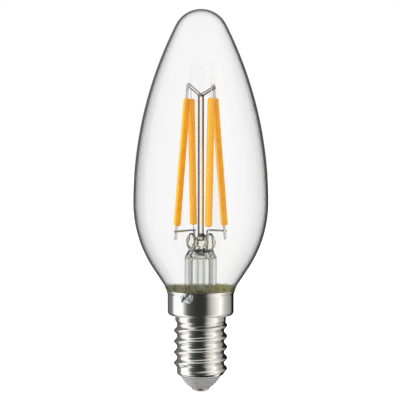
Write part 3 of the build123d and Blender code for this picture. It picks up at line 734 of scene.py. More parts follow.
def clear_glass(name, tint, index, ripples, edge=None, thickens=None):
    plain = {"Base Color": tint, "Roughness": 0.0, "IOR": index, "Transmission Weight": 1.0}
    material, tree, shader = new_finish(name, plain)
    if edge:
        tree.links.new(tint_with_painted_edge(tree, tint, edge, thickens), shader.inputs["Base Color"])
    relief(tree, shader, noise_of(tree, ripples, detail=1.0), RIPPLE_DEPTH)
    light_path = add_node(tree, "ShaderNodeLightPath").outputs
    lets_by = calculate(tree, "MAXIMUM", light_path["Is Shadow Ray"], light_path["Is Diffuse Ray"])
    clear = add_node(tree, "ShaderNodeBsdfTransparent").outputs[0]
    mix = add_node(tree, "ShaderNodeMixShader", i0=lets_by, i1=shader.outputs[0], i2=clear)
    tree.links.new(mix.outputs[0], tree.nodes["Material Output"].inputs["Surface"])
    return material


blown_glass = clear_glass("blown_glass", BULB_TINT, BULB_INDEX, BULB_RIPPLES)
bulb_mesh = turned("blown_bulb", inside_skin[::-1] + outside_skin, BULB_SEGMENTS)
add_piece("blown_bulb", bulb_mesh, blown_glass, "clear_glass", "glass_envelope")

# %% [markdown]
# The cap is one pressed sheet of plated metal: a curled edge, a rolled round thread, a plain ring, and the
# wide collar with its flared rim. The thread could be a wire wound round a tube, but it is rolled into the
# sheet, so here it is a push on the turned mesh: the crest climbs one pitch in each turn and fades in at
# both ends.

# %% Cap shell: its thread
EDGE_CURL = 0.8 * MM
THREAD_CREST = 6.945 * MM
THREAD_DEPTH = 0.8 * MM
THREAD_PITCH = 2.822 * MM
THREAD_TURNS = 4
THREAD_FADE = 0.5           # turns
THREAD_ROOT = THREAD_CREST - THREAD_DEPTH
CREST_SHARPNESS = 1.6       # 1 is an even wave, more is a narrower crest
EDGE_MARGIN = 1.7 * MM      # from the shell's edge up to the lowest full crest
cap_low, cap_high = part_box("cap_shell")
shell_edge, rim = cap_low.z, cap_high.z


def rolled_thread(radius, angle, height):
    """How far the sheet stands out at this turn and height."""
    turn = angle / (2 * math.pi)
    phase = (height - shell_edge - EDGE_MARGIN) / THREAD_PITCH - turn
    nearest = round(phase)
    along = nearest + turn
    fade = 1 - max(0, -along, along - THREAD_TURNS) / THREAD_FADE
    if fade <= 0:
        return radius
    crest = ((1 + math.cos(2 * math.pi * (phase - nearest))) / 2) ** CREST_SHARPNESS
    curl = min(1, max(0, (height - shell_edge) / EDGE_CURL))
    return radius + THREAD_DEPTH * crest * min(1, fade) * curl


print("thread:", THREAD_TURNS, "turns,", round(2 * THREAD_CREST / MM, 2), "mm over its crests")

# %% [markdown]
# The rest of the sheet is a turned outline with soft corners, and its inside is the same line drawn in by
# the sheet's thickness, with half as many points, since only its edge is ever seen. A solidify modifier
# would do that too, but it gives the inside as many points as the outside.

# %% Cap shell: its form
CAP_WALL = 0.3 * MM
RING_PROUD = 0.45 * MM
RING_HEIGHT = 1.5 * MM
COLLAR_RADIUS = 8.6 * MM
COLLAR_HEIGHT = 6.4 * MM
COLLAR_CORNER = 1.0 * MM
LIP_HEIGHT = 0.9 * MM
STEP_SOFTNESS, LIP_SOFTNESS = 0.3 * MM, 0.35 * MM
CURL_STEPS = 10
STEPS_PER_PITCH = 24
lip_radius = cap_high.x
collar_base = rim - COLLAR_HEIGHT
ring_base = collar_base - RING_HEIGHT


def cap_outline():
    curl = arc((THREAD_ROOT - EDGE_CURL, shell_edge + EDGE_CURL), EDGE_CURL, -90, 90, CURL_STEPS)
    corner_centre = (COLLAR_RADIUS - COLLAR_CORNER, collar_base + COLLAR_CORNER)
    corner = arc(corner_centre, COLLAR_CORNER, -90, 90, CURL_STEPS)
    ring_radius = THREAD_ROOT + RING_PROUD
    step = [
        (THREAD_ROOT, ring_base - RING_PROUD),
        (ring_radius, ring_base),
        (ring_radius, collar_base),
        corner[0],
    ]
    body = softened([curl[-1], *step], STEP_SOFTNESS)
    lip = softened([corner[-1], (COLLAR_RADIUS, rim - LIP_HEIGHT), (lip_radius, rim)], LIP_SOFTNESS)
    return curl[:-1] + divided(body[:-1], THREAD_PITCH / STEPS_PER_PITCH) + corner + lip[1:]


def drawn_in(outline, wall):
    """The inside of a sheet whose outside is the outline."""
    points = np.array(outline)
    run = np.gradient(points, axis=0)
    run /= np.linalg.norm(run, axis=1)[:, None]
    inward = np.stack([-run[:, 1], run[:, 0]], axis=1)
    return [tuple(p) for p in points + wall * inward]


outside_cap = cap_outline()
inside_cap = drawn_in(outside_cap, CAP_WALL)[::-2]
inside_cap[0] = (inside_cap[0][0], rim)
print("cap outline:", len(outside_cap), "points, collar", round(2 * COLLAR_RADIUS / MM, 2), "mm across")

# %% [markdown]
# The sheet is plated with nickel, which is a warm, slightly yellow mirror. A perfect mirror looks like a
# drawing, so fine marks round the axis and a few dull patches take the polish down here and there.

# %% Cap shell: its plating
CAP_SEGMENTS = 208
CAP_POLISH, CAP_DULLNESS, CAP_SCRATCHES = 0.05, 0.16, 900.0
PALE_NICKEL, DEEP_NICKEL = (0.86, 0.855, 0.83), (0.80, 0.795, 0.765)

cap_wear = (CAP_POLISH, CAP_DULLNESS, CAP_SCRATCHES)
nickel_sheet = bright_metal("nickel_sheet", PALE_NICKEL, DEEP_NICKEL, *cap_wear)
cap_mesh = turned("pressed_cap", outside_cap + inside_cap, CAP_SEGMENTS, rolled_thread)
add_piece("pressed_cap", cap_mesh, nickel_sheet, "nickel_plate", "cap_shell")

# %% [markdown]
# Under the cap sits a domed plug of pale moulded plastic with rings from its mould, and in its middle the
# domed head of the centre contact. Both are turned. The rings are narrow grooves in the outline itself,
# not a bump, so that the mesh has them too.

# %% Insulator and centre contact: their form
MOULD_RING_PITCH = 0.66 * MM
MOULD_RING_DEPTH = 0.11 * MM
RING_SHARPNESS = 3          # 1 is an even wave, more is a narrower groove
PLUG_BULGE = 0.35 * MM
PIN_HOLE = 1.2 * MM
CONTACT_BULGE = 0.16 * MM
CONTACT_FLAT = 1.2 * MM
FLAT_SHARES = (0.0, 0.6, 0.9)   # of the flat's radius, where its rings of points lie
SHANK_RADIUS = 0.75 * MM
DOME_STEPS, CONTACT_STEPS = 90, 14
_, contact_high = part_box("contact_pin")
plug_low, plug_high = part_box("insulator")
contact_radius = contact_high.x
plug_radius = plug_high.x
curl_bore = THREAD_ROOT - EDGE_CURL


def bulged(start, end, bulge, steps):
    """A line that bows out to its right by the bulge at its middle."""
    start, end = np.array(start), np.array(end)
    run = (end - start) / np.linalg.norm(end - start)
    out = np.array((run[1], -run[0]))
    shares = [k / steps for k in range(steps + 1)]
    return [tuple(start + (end - start) * t + out * bulge * 4 * t * (1 - t)) for t in shares]


def insulator_outline():
    dome = bulged((contact_radius, plug_low.z), (curl_bore, shell_edge), PLUG_BULGE, DOME_STEPS)
    ringed = []
    for radius, height in dome:
        wave = (1 - math.cos(2 * math.pi * (height - plug_low.z) / MOULD_RING_PITCH)) / 2
        ringed.append((radius - MOULD_RING_DEPTH * wave**RING_SHARPNESS, height))
    seat = shell_edge + CAP_WALL
    slant = plug_radius - curl_bore
    return ringed + [
        (curl_bore, seat), (plug_radius, seat + slant), (plug_radius, plug_high.z),
        (PIN_HOLE, plug_high.z), (PIN_HOLE, plug_low.z),
    ]


def contact_outline():
    flat = [(CONTACT_FLAT * share, 0.0) for share in FLAT_SHARES]
    side = bulged((CONTACT_FLAT, 0.0), (contact_radius, plug_low.z), CONTACT_BULGE, CONTACT_STEPS)
    shank = [(SHANK_RADIUS, plug_low.z), (SHANK_RADIUS, contact_high.z), (0.0, contact_high.z)]
    return flat + side[:-1] + [(contact_radius, plug_low.z)] + shank


print("insulator:", round(2 * curl_bore / MM, 2), "mm across where the cap's edge holds it")

# %% [markdown]
# The plastic is a satin grey. Its narrow grooves would hardly shade, so they get painted shade: there it is
# painted a little darker, and the same wave that cut the grooves gives the share. The contact is brass with a
# bright coat of tin.

# %% Insulator and centre contact: their finish
GROOVE_PAINTED_SHADE = (0.36, 0.36, 0.355)
SMOOTH_GRAIN = 0.006 * MM
INSULATOR_SEGMENTS, CONTACT_SEGMENTS = 160, 128


def ringed_plastic():
    """Pale grey moulding, with painted shade in the grooves between its rings."""
    plain = {"Roughness": 0.55, "IOR": 1.5}
    light, dark = (0.57, 0.57, 0.565), (0.49, 0.49, 0.485)
    patches, grains = 500.0, 3000.0
    material = two_tone("moulded_plastic", plain, light, dark, patches, grains, SMOOTH_GRAIN)
    tree = material.node_tree
    turn = 2 * math.pi / MOULD_RING_PITCH
    phase = calculate(tree, "MULTIPLY_ADD", own_axis(tree, "Z"), turn, -plug_low.z * turn)
    ridge = smooth_step(tree, calculate(tree, "COSINE", phase), -1.0, 0.0)
    # Painted shade: the grooves get the darker grey.
    recolour(material, ridge, GROOVE_PAINTED_SHADE)
    return material


def tinned_brass():
    plain = {"Metallic": 1.0, "Roughness": 0.14}
    light, dark = (0.90, 0.89, 0.88), (0.76, 0.74, 0.71)
    patches, grains = 500.0, 1800.0
    return two_tone("tinned_brass", plain, light, dark, patches, grains, SMOOTH_GRAIN)


insulator_mesh = turned("domed_insulator", insulator_outline(), INSULATOR_SEGMENTS)
add_piece("domed_insulator", insulator_mesh, ringed_plastic(), "insulator_plastic", "insulator")
contact_mesh = turned("domed_contact", contact_outline(), CONTACT_SEGMENTS)
add_piece("domed_contact", contact_mesh, tinned_brass(), "tinned_contact", "contact_pin")

# %% [markdown]
# The collar is glued to the neck with a baked cement, olive brown. It fills the gap between the two, and
# when the cap was pushed on it was squeezed up past the rim at the sides and the back, where it is seen
# through the bulb. A turned ring would be too even, so one section is carried round the neck and changes
# as it goes: how high it climbs, and how thick it is, wander. It stands a hair away from the glass and
# the metal, since two skins in the same place would flicker.

# %% Basing cement: its form
CEMENT_GAP = 0.015 * MM
CEMENT_BELOW_RIM = 0.8 * MM
CEMENT_BEAD = 0.22 * MM
CEMENT_THINNEST = 0.02          # keeps the bead's upper edge from thinning out to nothing
CEMENT_RIPPLE = 0.14            # share of the bead's height that comes and goes
RIPPLE_PATH = (3.2, 1.28)       # radius and height of the circle on which the ripple's noise is read
CEMENT_SPAN, CEMENT_TAPER = 122, 26     # degrees each side of the back, and the run of each end
CEMENT_STEPS, CEMENT_TURNS = 26, 180
cement_low, cement_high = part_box("cement_ring")
cement_outer = COLLAR_RADIUS - CAP_WALL - CEMENT_GAP
cement_climb = cement_high.z - rim


def neck_radius(height):
    above = max(0.0, height - neck_edge - NECK_STRAIGHT)
    return neck_outside + NECK_CURVE - math.sqrt(NECK_CURVE**2 - above**2)


def cement_top(turn):
    """How high the cement stands at a turn, in degrees from the back."""
    share = min(1.0, max(0.0, (CEMENT_SPAN - abs(turn)) / CEMENT_TAPER))
    reach, level = RIPPLE_PATH
    angle = math.radians(turn)
    ripple = noise.noise(Vector((reach * math.cos(angle), reach * math.sin(angle), level)))
    climb = cement_climb * (1 - CEMENT_RIPPLE * (0.5 + ripple))
    low = rim - CEMENT_BELOW_RIM
    return low + (rim + climb - low) * eased(share)


def cement_section(turn):
    """Up the outside and down along the glass, as (radius, height)."""
    top = cement_top(turn)
    heights = [cement_low.z + (top - cement_low.z) * k / CEMENT_STEPS for k in range(CEMENT_STEPS + 1)]
    lip = lip_radius - CAP_WALL - CEMENT_GAP
    outside = []
    for height in heights:
        below_top = max(CEMENT_THINNEST, (top - height) / (2 * CEMENT_BEAD))
        reach = neck_radius(height) + CEMENT_GAP + CEMENT_BEAD * min(1.0, math.sqrt(below_top))
        if height < rim:
            reach = min(reach, lip)
        if height < rim - LIP_HEIGHT:
            reach = cement_outer
        outside.append((reach, height))
    inside = [(neck_radius(height) + CEMENT_GAP, height) for height in heights[::-1]]
    return outside + inside


def carried_round(name, section, turns):
    """Closed ring through sections of the same number of (radius, height) points."""
    points, loops = [], []
    for k in range(turns):
        turn = 360 * k / turns - 180
        x, y = math.cos(math.radians(turn + 90)), math.sin(math.radians(turn + 90))
        loop = [(radius * x, radius * y, height) for radius, height in section(turn)]
        loops.append(range(len(points), len(points) + len(loop)))
        points += loop
    pairs = zip(loops[1:] + loops[:1], loops)
    return skinned(name, points, [face for pair in pairs for face in stitched(*pair)])


cement_mesh = carried_round("baked_cement", cement_section, CEMENT_TURNS)
print("cement: climbs", round(cement_climb / MM, 2), "mm above the rim")

# %% [markdown]
# The cement is matt and grainy. Its upper edge was smeared along the glass as the cap went on, and is so
# thin in places that light comes through: the cover fades with height, and noise makes the edge ragged.

# %% Basing cement: its finish
CEMENT_SMEAR = 1.0 * MM     # its upper edge thins out over this height
SMEAR_SPOTS = 900.0
CEMENT_GRAIN = 0.08 * MM


def smeared_cement():
    plain = {"Roughness": 0.85}
    light, dark = (0.25, 0.235, 0.035), (0.13, 0.12, 0.014)
    patches, grains = 700.0, 1800.0
    material = two_tone("olive_cement", plain, light, dark, patches, grains, CEMENT_GRAIN)
    tree = material.node_tree
    spots = noise_of(tree, SMEAR_SPOTS, detail=3.0)
    uneven = calculate(tree, "MULTIPLY_ADD", spots, CEMENT_SMEAR, own_axis(tree, "Z"))
    top = rim + cement_climb + CEMENT_SMEAR / 2
    cover = smooth_step(tree, uneven, top, top - CEMENT_SMEAR)
    tree.links.new(cover, tree.nodes["Principled BSDF"].inputs["Alpha"])
    return material


add_piece("baked_cement", cement_mesh, smeared_cement(), "basing_cement", "cement_ring")

# %% [markdown]
# The return wire comes out through the collar and is soldered there. A drop of solder freezes with a
# wrinkled skin and an uneven edge. It could be sculpted by hand; here it is a small dome on the collar's
# curve, pushed about by noise, with a slanting hollow where the wire lies under it.

# %% Solder on the collar: its form
SOLDER_WIDTH, SOLDER_HEIGHT, SOLDER_THICKNESS = 4.3 * MM, 3.3 * MM, 0.55 * MM
SOLDER_DROP = 1.15 * MM     # its middle below the rim
SOLDER_SKIN = 0.006 * MM    # from the collar to the underside
SOLDER_GROOVE = 0.7 * MM    # width of the slanting hollow where the wire lies
EDGE_REACH, EDGE_RAGGED = 0.90, 0.32    # the edge's mean share of the drop's size, and how far it strays
EDGE_PATH = (1.9, 3.7)      # radius and height of the circle on which the edge's noise is read
MEAN_SWELL, LEAST_SWELL, GROOVE_SWELL = 0.7, 0.08, 0.5      # shares of the thickness
WRINKLES = ((0.45, 1.5), (0.25, 3.3))   # share of the thickness, and wrinkles per millimetre
SOLDER_RINGS, SOLDER_SPOKES = 26, 84
RING_CROWDING = 0.8         # below 1, rings of points lie closer together towards the edge
solder_low, solder_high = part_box("side_solder")
solder_middle = (solder_low + solder_high) / 2
solder_bearing = math.atan2(solder_middle.y, solder_middle.x)


def collar_at(height):
    """Outside radius of the collar and its flared lip."""
    flare = max(0.0, height - rim + LIP_HEIGHT) / LIP_HEIGHT
    return COLLAR_RADIUS + (lip_radius - COLLAR_RADIUS) * flare


def solder_point(share, angle, raised):
    """A point at a share of the way to the edge, on the raised skin or on the underside."""
    path, level = EDGE_PATH
    stray = noise.noise(Vector((path * math.cos(angle), path * math.sin(angle), level)))
    ragged = EDGE_REACH + EDGE_RAGGED * stray
    across = share * ragged * SOLDER_WIDTH / 2 * math.cos(angle)
    up = share * ragged * SOLDER_HEIGHT / 2 * math.sin(angle)
    height = min(rim, rim - SOLDER_DROP + up)
    spot = Vector((across, up, 0)) / MM
    swell = MEAN_SWELL + sum(depth * noise.noise(spot * scale) for depth, scale in WRINKLES)
    swell -= GROOVE_SWELL * math.exp(-((across - up) / SOLDER_GROOVE) ** 2)
    dome = SOLDER_THICKNESS * (1 - share**2) * max(LEAST_SWELL, swell)
    reach = collar_at(height) + SOLDER_SKIN + (dome if raised else 0.0)
    bearing = solder_bearing + across / COLLAR_RADIUS
    return (reach * math.cos(bearing), reach * math.sin(bearing), height)


def solder_mesh():
    """Raised skin from its middle to its edge, and the underside on the collar back to its middle."""
    shares = [(k / SOLDER_RINGS) ** RING_CROWDING for k in range(SOLDER_RINGS + 1)]
    course = [(share, True) for share in shares] + [(share, False) for share in shares[-2::-1]]
    points, rings = [], []
    for share, raised in course:
        ring = [solder_point(share, angle, raised) for angle in spokes(share, SOLDER_SPOKES)]
        rings.append(range(len(points), len(points) + len(ring)))
        points += ring
    pairs = zip(rings[1:], rings)
    return skinned("frozen_solder", points, [face for pair in pairs for face in stitched(*pair)])


drop_mesh = solder_mesh()
print("solder:", round(SOLDER_WIDTH / MM, 1), "by", round(SOLDER_HEIGHT / MM, 1), "mm")

# %% [markdown]
# Solder is bright where its skin froze smoothly. Along the hollow it is painted dark, as painted shade that
# follows the same slanting line, with a ragged edge from noise.

# %% Solder on the collar: its finish
# Painted shade: a dark streak painted along the solder's slanting hollow.
HOLLOW_PAINTED_SHADE = (0.06, 0.10, 0.13)
HOLLOW_SHADE_SPOTS = 1300.0
HOLLOW_SHADE_EDGE = (0.1, 1.1)       # in widths of the hollow, from all painted shade to none
SOLDER_GRAIN = 0.06 * MM


def frozen_skin():
    plain = {"Metallic": 0.6, "Roughness": 0.2}
    light, dark = (0.96, 0.97, 0.98), (0.62, 0.66, 0.69)
    patches, grains = 620.0, 1500.0
    material = two_tone("solder_skin", plain, light, dark, patches, grains, SOLDER_GRAIN)
    tree = material.node_tree
    cosine, sine = math.cos(solder_bearing), math.sin(solder_bearing)
    middle = Vector((COLLAR_RADIUS * cosine, COLLAR_RADIUS * sine, rim - SOLDER_DROP))
    slant = Vector((-sine, cosine, -1))
    own = own_coordinates(tree)
    across = add_node(tree, "ShaderNodeVectorMath", {"operation": "DOT_PRODUCT"}, i0=own, i1=slant)
    wander = 2 * SOLDER_GROOVE
    spots = noise_of(tree, HOLLOW_SHADE_SPOTS, detail=3.0)
    ragged = calculate(tree, "MULTIPLY_ADD", spots, wander, -slant.dot(middle) - wander / 2)
    offset = calculate(tree, "ABSOLUTE", calculate(tree, "ADD", across.outputs["Value"], ragged))
    clear_of_it = smooth_step(tree, offset, *(share * SOLDER_GROOVE for share in HOLLOW_SHADE_EDGE))
    recolour(material, clear_of_it, HOLLOW_PAINTED_SHADE)
    return material


add_piece("frozen_solder", drop_mesh, frozen_skin(), "solder", "side_solder")

# %% [markdown]
# The stem is a glass tube, flared at its foot and, while it was soft, pinched flat round the wires at its
# top, where the glass drew up into three lobes. Such a form has no clean outline, so it is built from
# overlapping rough forms. The first is the tube, turned, with a flare that fills the bulb's neck.

# %% Stem: its flared tube
TUBE_RADIUS = 4.15 * MM
TUBE_WALL = 0.9 * MM
TUBE_SEGMENTS = 96
FLARE_CURVE = 5.0 * MM
FLARE_RISE = 0.5 * MM
FLARE_STEPS = 20
LONGEST_TUBE_STEP = 0.5 * MM
PINCH_HEIGHT = 6.6 * MM
stem_top = stem_high.z
tube_top = stem_top - PINCH_HEIGHT


def flared_tube():
    spread = math.degrees(math.acos(1 - (neck_bore - TUBE_RADIUS) / FLARE_CURVE))
    curve_top = neck_edge + FLARE_RISE + FLARE_CURVE * math.sin(math.radians(spread))
    centre = (TUBE_RADIUS + FLARE_CURVE, curve_top)
    outer, inner = (
        [(TUBE_RADIUS - wall, tube_top)] + arc(centre, FLARE_CURVE + wall, 180, spread, FLARE_STEPS)
        for wall in (0, TUBE_WALL)
    )
    within = [(min(radius, neck_bore), height) for radius, height in inner]
    outline = divided(within, LONGEST_TUBE_STEP) + divided(outer[::-1], LONGEST_TUBE_STEP)
    return turned("flared_tube", outline, TUBE_SEGMENTS)


rough_forms = [flared_tube()]
tube_across, flare_across = (round(2 * radius / MM, 1) for radius in (TUBE_RADIUS, neck_bore))
print("stem tube:", tube_across, "mm across, flared to", flare_across, "mm")

# %% [markdown]
# The pinched top goes from the round tube to a flat waist, and above it the lobes swell round the two wires
# and the cane's foot. Metaballs would swell as well, but ovals stacked on each other keep to a stated size.

# %% Stem: its pinched top
SHOULDER_HEIGHT = 2.1 * MM
SHOULDER_LEVELS = 14
WAIST = (3.25 * MM, 1.7 * MM)   # half width and half depth
WAIST_RISE = 1.3 * MM           # from the waist up to the crotches between the lobes
CROTCH = (2.8 * MM, 1.0 * MM)
# sideways, radius, foot above the waist: round the left wire, the cane's foot and the right wire
LOBES = (
    (-2.4 * MM, 1.4 * MM, 0.2 * MM),
    (0.25 * MM, 1.75 * MM, -0.4 * MM),
    (2.4 * MM, 1.42 * MM, -0.1 * MM),
)
LOBE_LEVELS = 24
LOBE_LOWNESS, LOBE_FULLNESS = 0.8, 0.6  # below 1: fullest below the middle, and blunter than a sine
SHOULDER_SEGMENTS, LOBE_SEGMENTS = 64, 40
waist = tube_top + SHOULDER_HEIGHT


def oval_stack(levels, segments):
    """A closed body through ovals of (half width, half depth, height, sideways)."""
    points, rings = [], []
    for width, depth, height, sideways in levels:
        rings.append(range(len(points), len(points) + segments))
        for angle in spokes(width, segments):
            points.append((sideways + width * math.cos(angle), depth * math.sin(angle), height))
    faces = [face for pair in zip(rings, rings[1:]) for face in stitched(*pair)]
    faces += [tuple(rings[0])[::-1], tuple(rings[-1])]
    return skinned("oval_stack", points, faces)


def pinched_shoulder():
    levels = []
    for k in range(SHOULDER_LEVELS + 1):
        share = k / SHOULDER_LEVELS
        width, depth = (TUBE_RADIUS + (size - TUBE_RADIUS) * eased(share) for size in WAIST)
        levels.append((width, depth, tube_top + (waist - tube_top) * share, 0.0))
    levels.append((*CROTCH, waist + WAIST_RISE, 0.0))
    return oval_stack(levels, SHOULDER_SEGMENTS)


def lobe(sideways, radius, low, high):
    """An egg of glass, fullest below its middle."""
    levels = []
    for k in range(1, LOBE_LEVELS):
        share = k / LOBE_LEVELS
        reach = radius * math.sin(math.pi * share**LOBE_LOWNESS) ** LOBE_FULLNESS
        levels.append((reach, reach, low + (high - low) * share, sideways))
    return oval_stack(levels, LOBE_SEGMENTS)


rough_forms.append(pinched_shoulder())
for sideways, radius, foot in LOBES:
    rough_forms.append(lobe(sideways, radius, waist + foot, stem_top))
print("stem:", len(rough_forms), "rough forms,", round((stem_top - stem_low.z) / MM, 1), "mm tall")

# %% [markdown]
# A voxel remesh melts the rough forms into one skin and a smoothing softens it, much as the flame did.
# A boolean union would keep sharp seams between them. Noise then swells the pinched glass unevenly and
# leaves small folds where the tongs closed, and none of that on the straight tube.

# %% Stem: melted together
STEM_VOXEL = 0.125 * MM
SOFTENING, SOFTENING_PASSES = 0.5, 7
STEM_WAVES, WAVE_LENGTH = 0.13 * MM, 1.6 * MM
WAIST_KNOTS, KNOT_LENGTH = 0.26 * MM, 0.7 * MM
KNOT_REACH = 2.2 * MM       # above and below the waist


def melted(name, forms):
    """One smooth skin round overlapping closed forms."""
    points, faces = [], []
    for form in forms:
        start = len(points)
        points += [tuple(v.co) for v in form.vertices]
        faces += [tuple(start + i for i in p.vertices) for p in form.polygons]
        bpy.data.meshes.remove(form)
    mesh = skinned(name, points, faces)
    rough = bpy.data.objects.new(name, mesh)
    scene.collection.objects.link(rough)
    remesh = rough.modifiers.new("melt", "REMESH")
    remesh.mode = "VOXEL"
    remesh.voxel_size = STEM_VOXEL
    remesh.use_smooth_shade = True
    smooth = rough.modifiers.new("soften", "SMOOTH")
    smooth.factor = SOFTENING
    smooth.iterations = SOFTENING_PASSES
    skin = bpy.data.meshes.new_from_object(rough.evaluated_get(bpy.context.evaluated_depsgraph_get()))
    bpy.data.objects.remove(rough)
    bpy.data.meshes.remove(mesh)
    skin.name = name
    return skin


def hand_worked(mesh):
    """Uneven swellings where the glass was pinched, and knots round the waist."""
    normals = [vertex.normal.copy() for vertex in mesh.vertices]
    for vertex, normal in zip(mesh.vertices, normals):
        share = min(1.0, max(0.0, (vertex.co.z - tube_top) / SHOULDER_HEIGHT))
        if share:
            near = math.exp(-((vertex.co.z - waist) / KNOT_REACH) ** 2)
            swell = noise.noise(vertex.co / WAVE_LENGTH) * STEM_WAVES * share
            knot = noise.noise(vertex.co / KNOT_LENGTH) * WAIST_KNOTS * near * share
            vertex.co += normal * (swell + knot)


stem_mesh = melted("pinched_stem", rough_forms)
hand_worked(stem_mesh)
print("stem skin:", len(stem_mesh.vertices), "points")

# %% [markdown]
# The tube's glass is almost clear. The lobes are solid, and there it looks greenish, as thick glass does,
# with a painted dark edge as painted shade for the dark room seen round it. One glass for all would be too
# pale above or too dark below, so the finish goes from the one to the other between the tube's top and the
# lobes.

# %% Stem: its glass
FINE_RIPPLES = 300.0
STEM_TINT, STEM_SOLID = (0.972, 0.98, 0.962), (0.88, 0.90, 0.81)
# Painted shade: the stem's dark edge colour, and where it starts and is full.
STEM_PAINTED_EDGE = ((0.075, 0.085, 0.045), 0.26, 0.68)
WORKED_INDEX = 1.5

stem_thickens = (tube_top, waist + WAIST_RISE, STEM_SOLID)
stem_glass = clear_glass("stem_glass_melt", STEM_TINT, WORKED_INDEX, FINE_RIPPLES, STEM_PAINTED_EDGE, stem_thickens)
add_piece("pinched_stem", stem_mesh, stem_glass, "stem_glass", "stem_flare")

# %% [markdown]
# Inside the stem hangs the exhaust tube, through which the air was drawn out, and on top stands a plain
# glass cane. Its warm tint is a painted reflection of the yellow filaments, and its two sides have a painted
# dark edge, painted shade for the dark room seen round them. Both are turned, and since drawn glass is never
# quite even, the cane's radius wanders by up to two hundredths of a millimetre.

# %% Exhaust tube and cane
EXHAUST_WALL = 0.5 * MM
EXHAUST_SEGMENTS, EXHAUST_STEPS = 72, 16
LONGEST_EXHAUST_STEP = 1 * MM
CANE_ROUND = 0.5 * MM
CANE_WANDER, CANE_WAVE = 0.02 * MM, 4 * MM
CANE_SEGMENTS, CANE_STEPS = 64, 8
LONGEST_CANE_STEP = 0.8 * MM
# Painted reflection: the cane's warm tint stands for the yellow filaments seen in it.
CANE_PAINTED_WARMTH = (0.98, 0.955, 0.89)
# Painted shade: the cane's dark edge colour, and where it starts and is full.
CANE_PAINTED_EDGE = ((0.030, 0.012, 0.002), 0.11, 0.34)
exhaust_low, exhaust_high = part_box("exhaust_tube")
cane_low, cane_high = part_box("support_rod")


def exhaust_outline():
    outer = exhaust_high.x
    inner = outer - EXHAUST_WALL
    centre = (0.0, exhaust_low.z + outer)
    bottom = arc(centre, outer, -90, 90, EXHAUST_STEPS)[1:]
    bore_end = arc(centre, inner, 0, -90, EXHAUST_STEPS)[:-1]
    outside = [(0.0, exhaust_low.z), *bottom, (outer, exhaust_high.z)]
    inside = [(inner, exhaust_high.z), *bore_end, (0.0, exhaust_low.z + EXHAUST_WALL)]
    return divided(outside, LONGEST_EXHAUST_STEP) + divided(inside, LONGEST_EXHAUST_STEP)


def cane_outline():
    radius = cane_high.x
    top = arc((radius - CANE_ROUND, cane_high.z - CANE_ROUND), CANE_ROUND, 0, 90, CANE_STEPS)
    side = divided([(radius, cane_low.z), *top], LONGEST_CANE_STEP)
    return [(0.0, cane_low.z), *side, (0.0, cane_high.z)]


def drawn_glass(radius, angle, height):
    return radius - CANE_WANDER * (1 + noise.noise(Vector((0, 0, height / CANE_WAVE)))) / 2


exhaust_mesh = turned("exhaust_tube_drawn", exhaust_outline(), EXHAUST_SEGMENTS)
add_piece("exhaust_tube_drawn", exhaust_mesh, stem_glass, "stem_glass", "exhaust_tube")
cane_glass = clear_glass("cane_glass", CANE_PAINTED_WARMTH, WORKED_INDEX, FINE_RIPPLES, CANE_PAINTED_EDGE)
cane_mesh = turned("glass_cane", cane_outline(), CANE_SEGMENTS, drawn_glass)
add_piece("glass_cane", cane_mesh, cane_glass, "stem_glass", "support_rod")

# %% [markdown]
# Each filament is a narrow strip of chips in a thick coat of silicone that is full of yellow phosphor.
# The four stand at four slants. Each coat is made upright, where it is simple, and then set in the frame
# of its strip's own solid, whose long, wide and thin directions come from the spread of its points.
# The silicone was laid on from a nozzle, so its thickness wanders.

# %% Filament coats: their form
COAT_END = 0.5 * MM
COAT_WANDER = 0.035 * MM
WANDER_LENGTH, WANDER_ROUND = 2.2 * MM, 0.6     # along the coat, and how fast it changes round it
COAT_SEGMENTS, COAT_END_STEPS = 56, 8
LONGEST_COAT_STEP = 0.35 * MM
SEED_STEP = 10              # so that no two coats wander alike
FILAMENTS = ("left", "rear", "front", "right")


def strip_frame(name):
    """Middle of the strip, with x across it, y out of its face and z up along it."""
    points = np.array([v.co for v in nodes[f"filament_{name}_strip"].data.vertices])
    middle = points.mean(0)
    _, _, axes = np.linalg.svd(points - middle)
    along = Vector(axes[0])
    along *= 1 if along.z > 0 else -1
    across = Vector(axes[1])
    across *= 1 if across.x > 0 else -1
    face = along.cross(across)
    return Matrix.Translation(Vector(middle)) @ Matrix((across, face, along)).transposed().to_4x4()


def coat_size(name, place):
    """Radius and half length of the coat, measured in the strip's frame."""
    own = place.inverted()
    points = np.array([own @ v.co for v in nodes[f"filament_{name}_coat"].data.vertices])
    return points[:, 0].max(), (points[:, 2].max() - points[:, 2].min()) / 2


def coat_mesh(name, radius, half):
    end = arc((radius - COAT_END, half - COAT_END), COAT_END, 0, 90, COAT_END_STEPS)
    upper = divided([(radius, 0.0), *end], LONGEST_COAT_STEP) + [(0.0, half)]
    lower = [(r, -z) for r, z in upper[:0:-1]]
    seed = FILAMENTS.index(name) * SEED_STEP

    def dispensed(r, angle, z):
        x, y = math.cos(angle) * WANDER_ROUND + seed, math.sin(angle) * WANDER_ROUND
        wander = 0.5 + 0.5 * noise.noise(Vector((x, y, z / WANDER_LENGTH)))
        return r - COAT_WANDER * wander * min(1, r / radius)

    return turned(f"phosphor_coat_{name}", lower + upper, COAT_SEGMENTS, dispensed)


print("filaments:", ", ".join(FILAMENTS))

# %% [markdown]
# The coat is soft to light: it glows where light enters it, which is subsurface scattering. Its thin edges
# beside the strip are painted paler, a painted glow for the light that shines through the thin silicone
# there.
# Its surface is dusty with grains of phosphor, and a sheen gives it the pale bloom that such a surface has
# where it turns away.

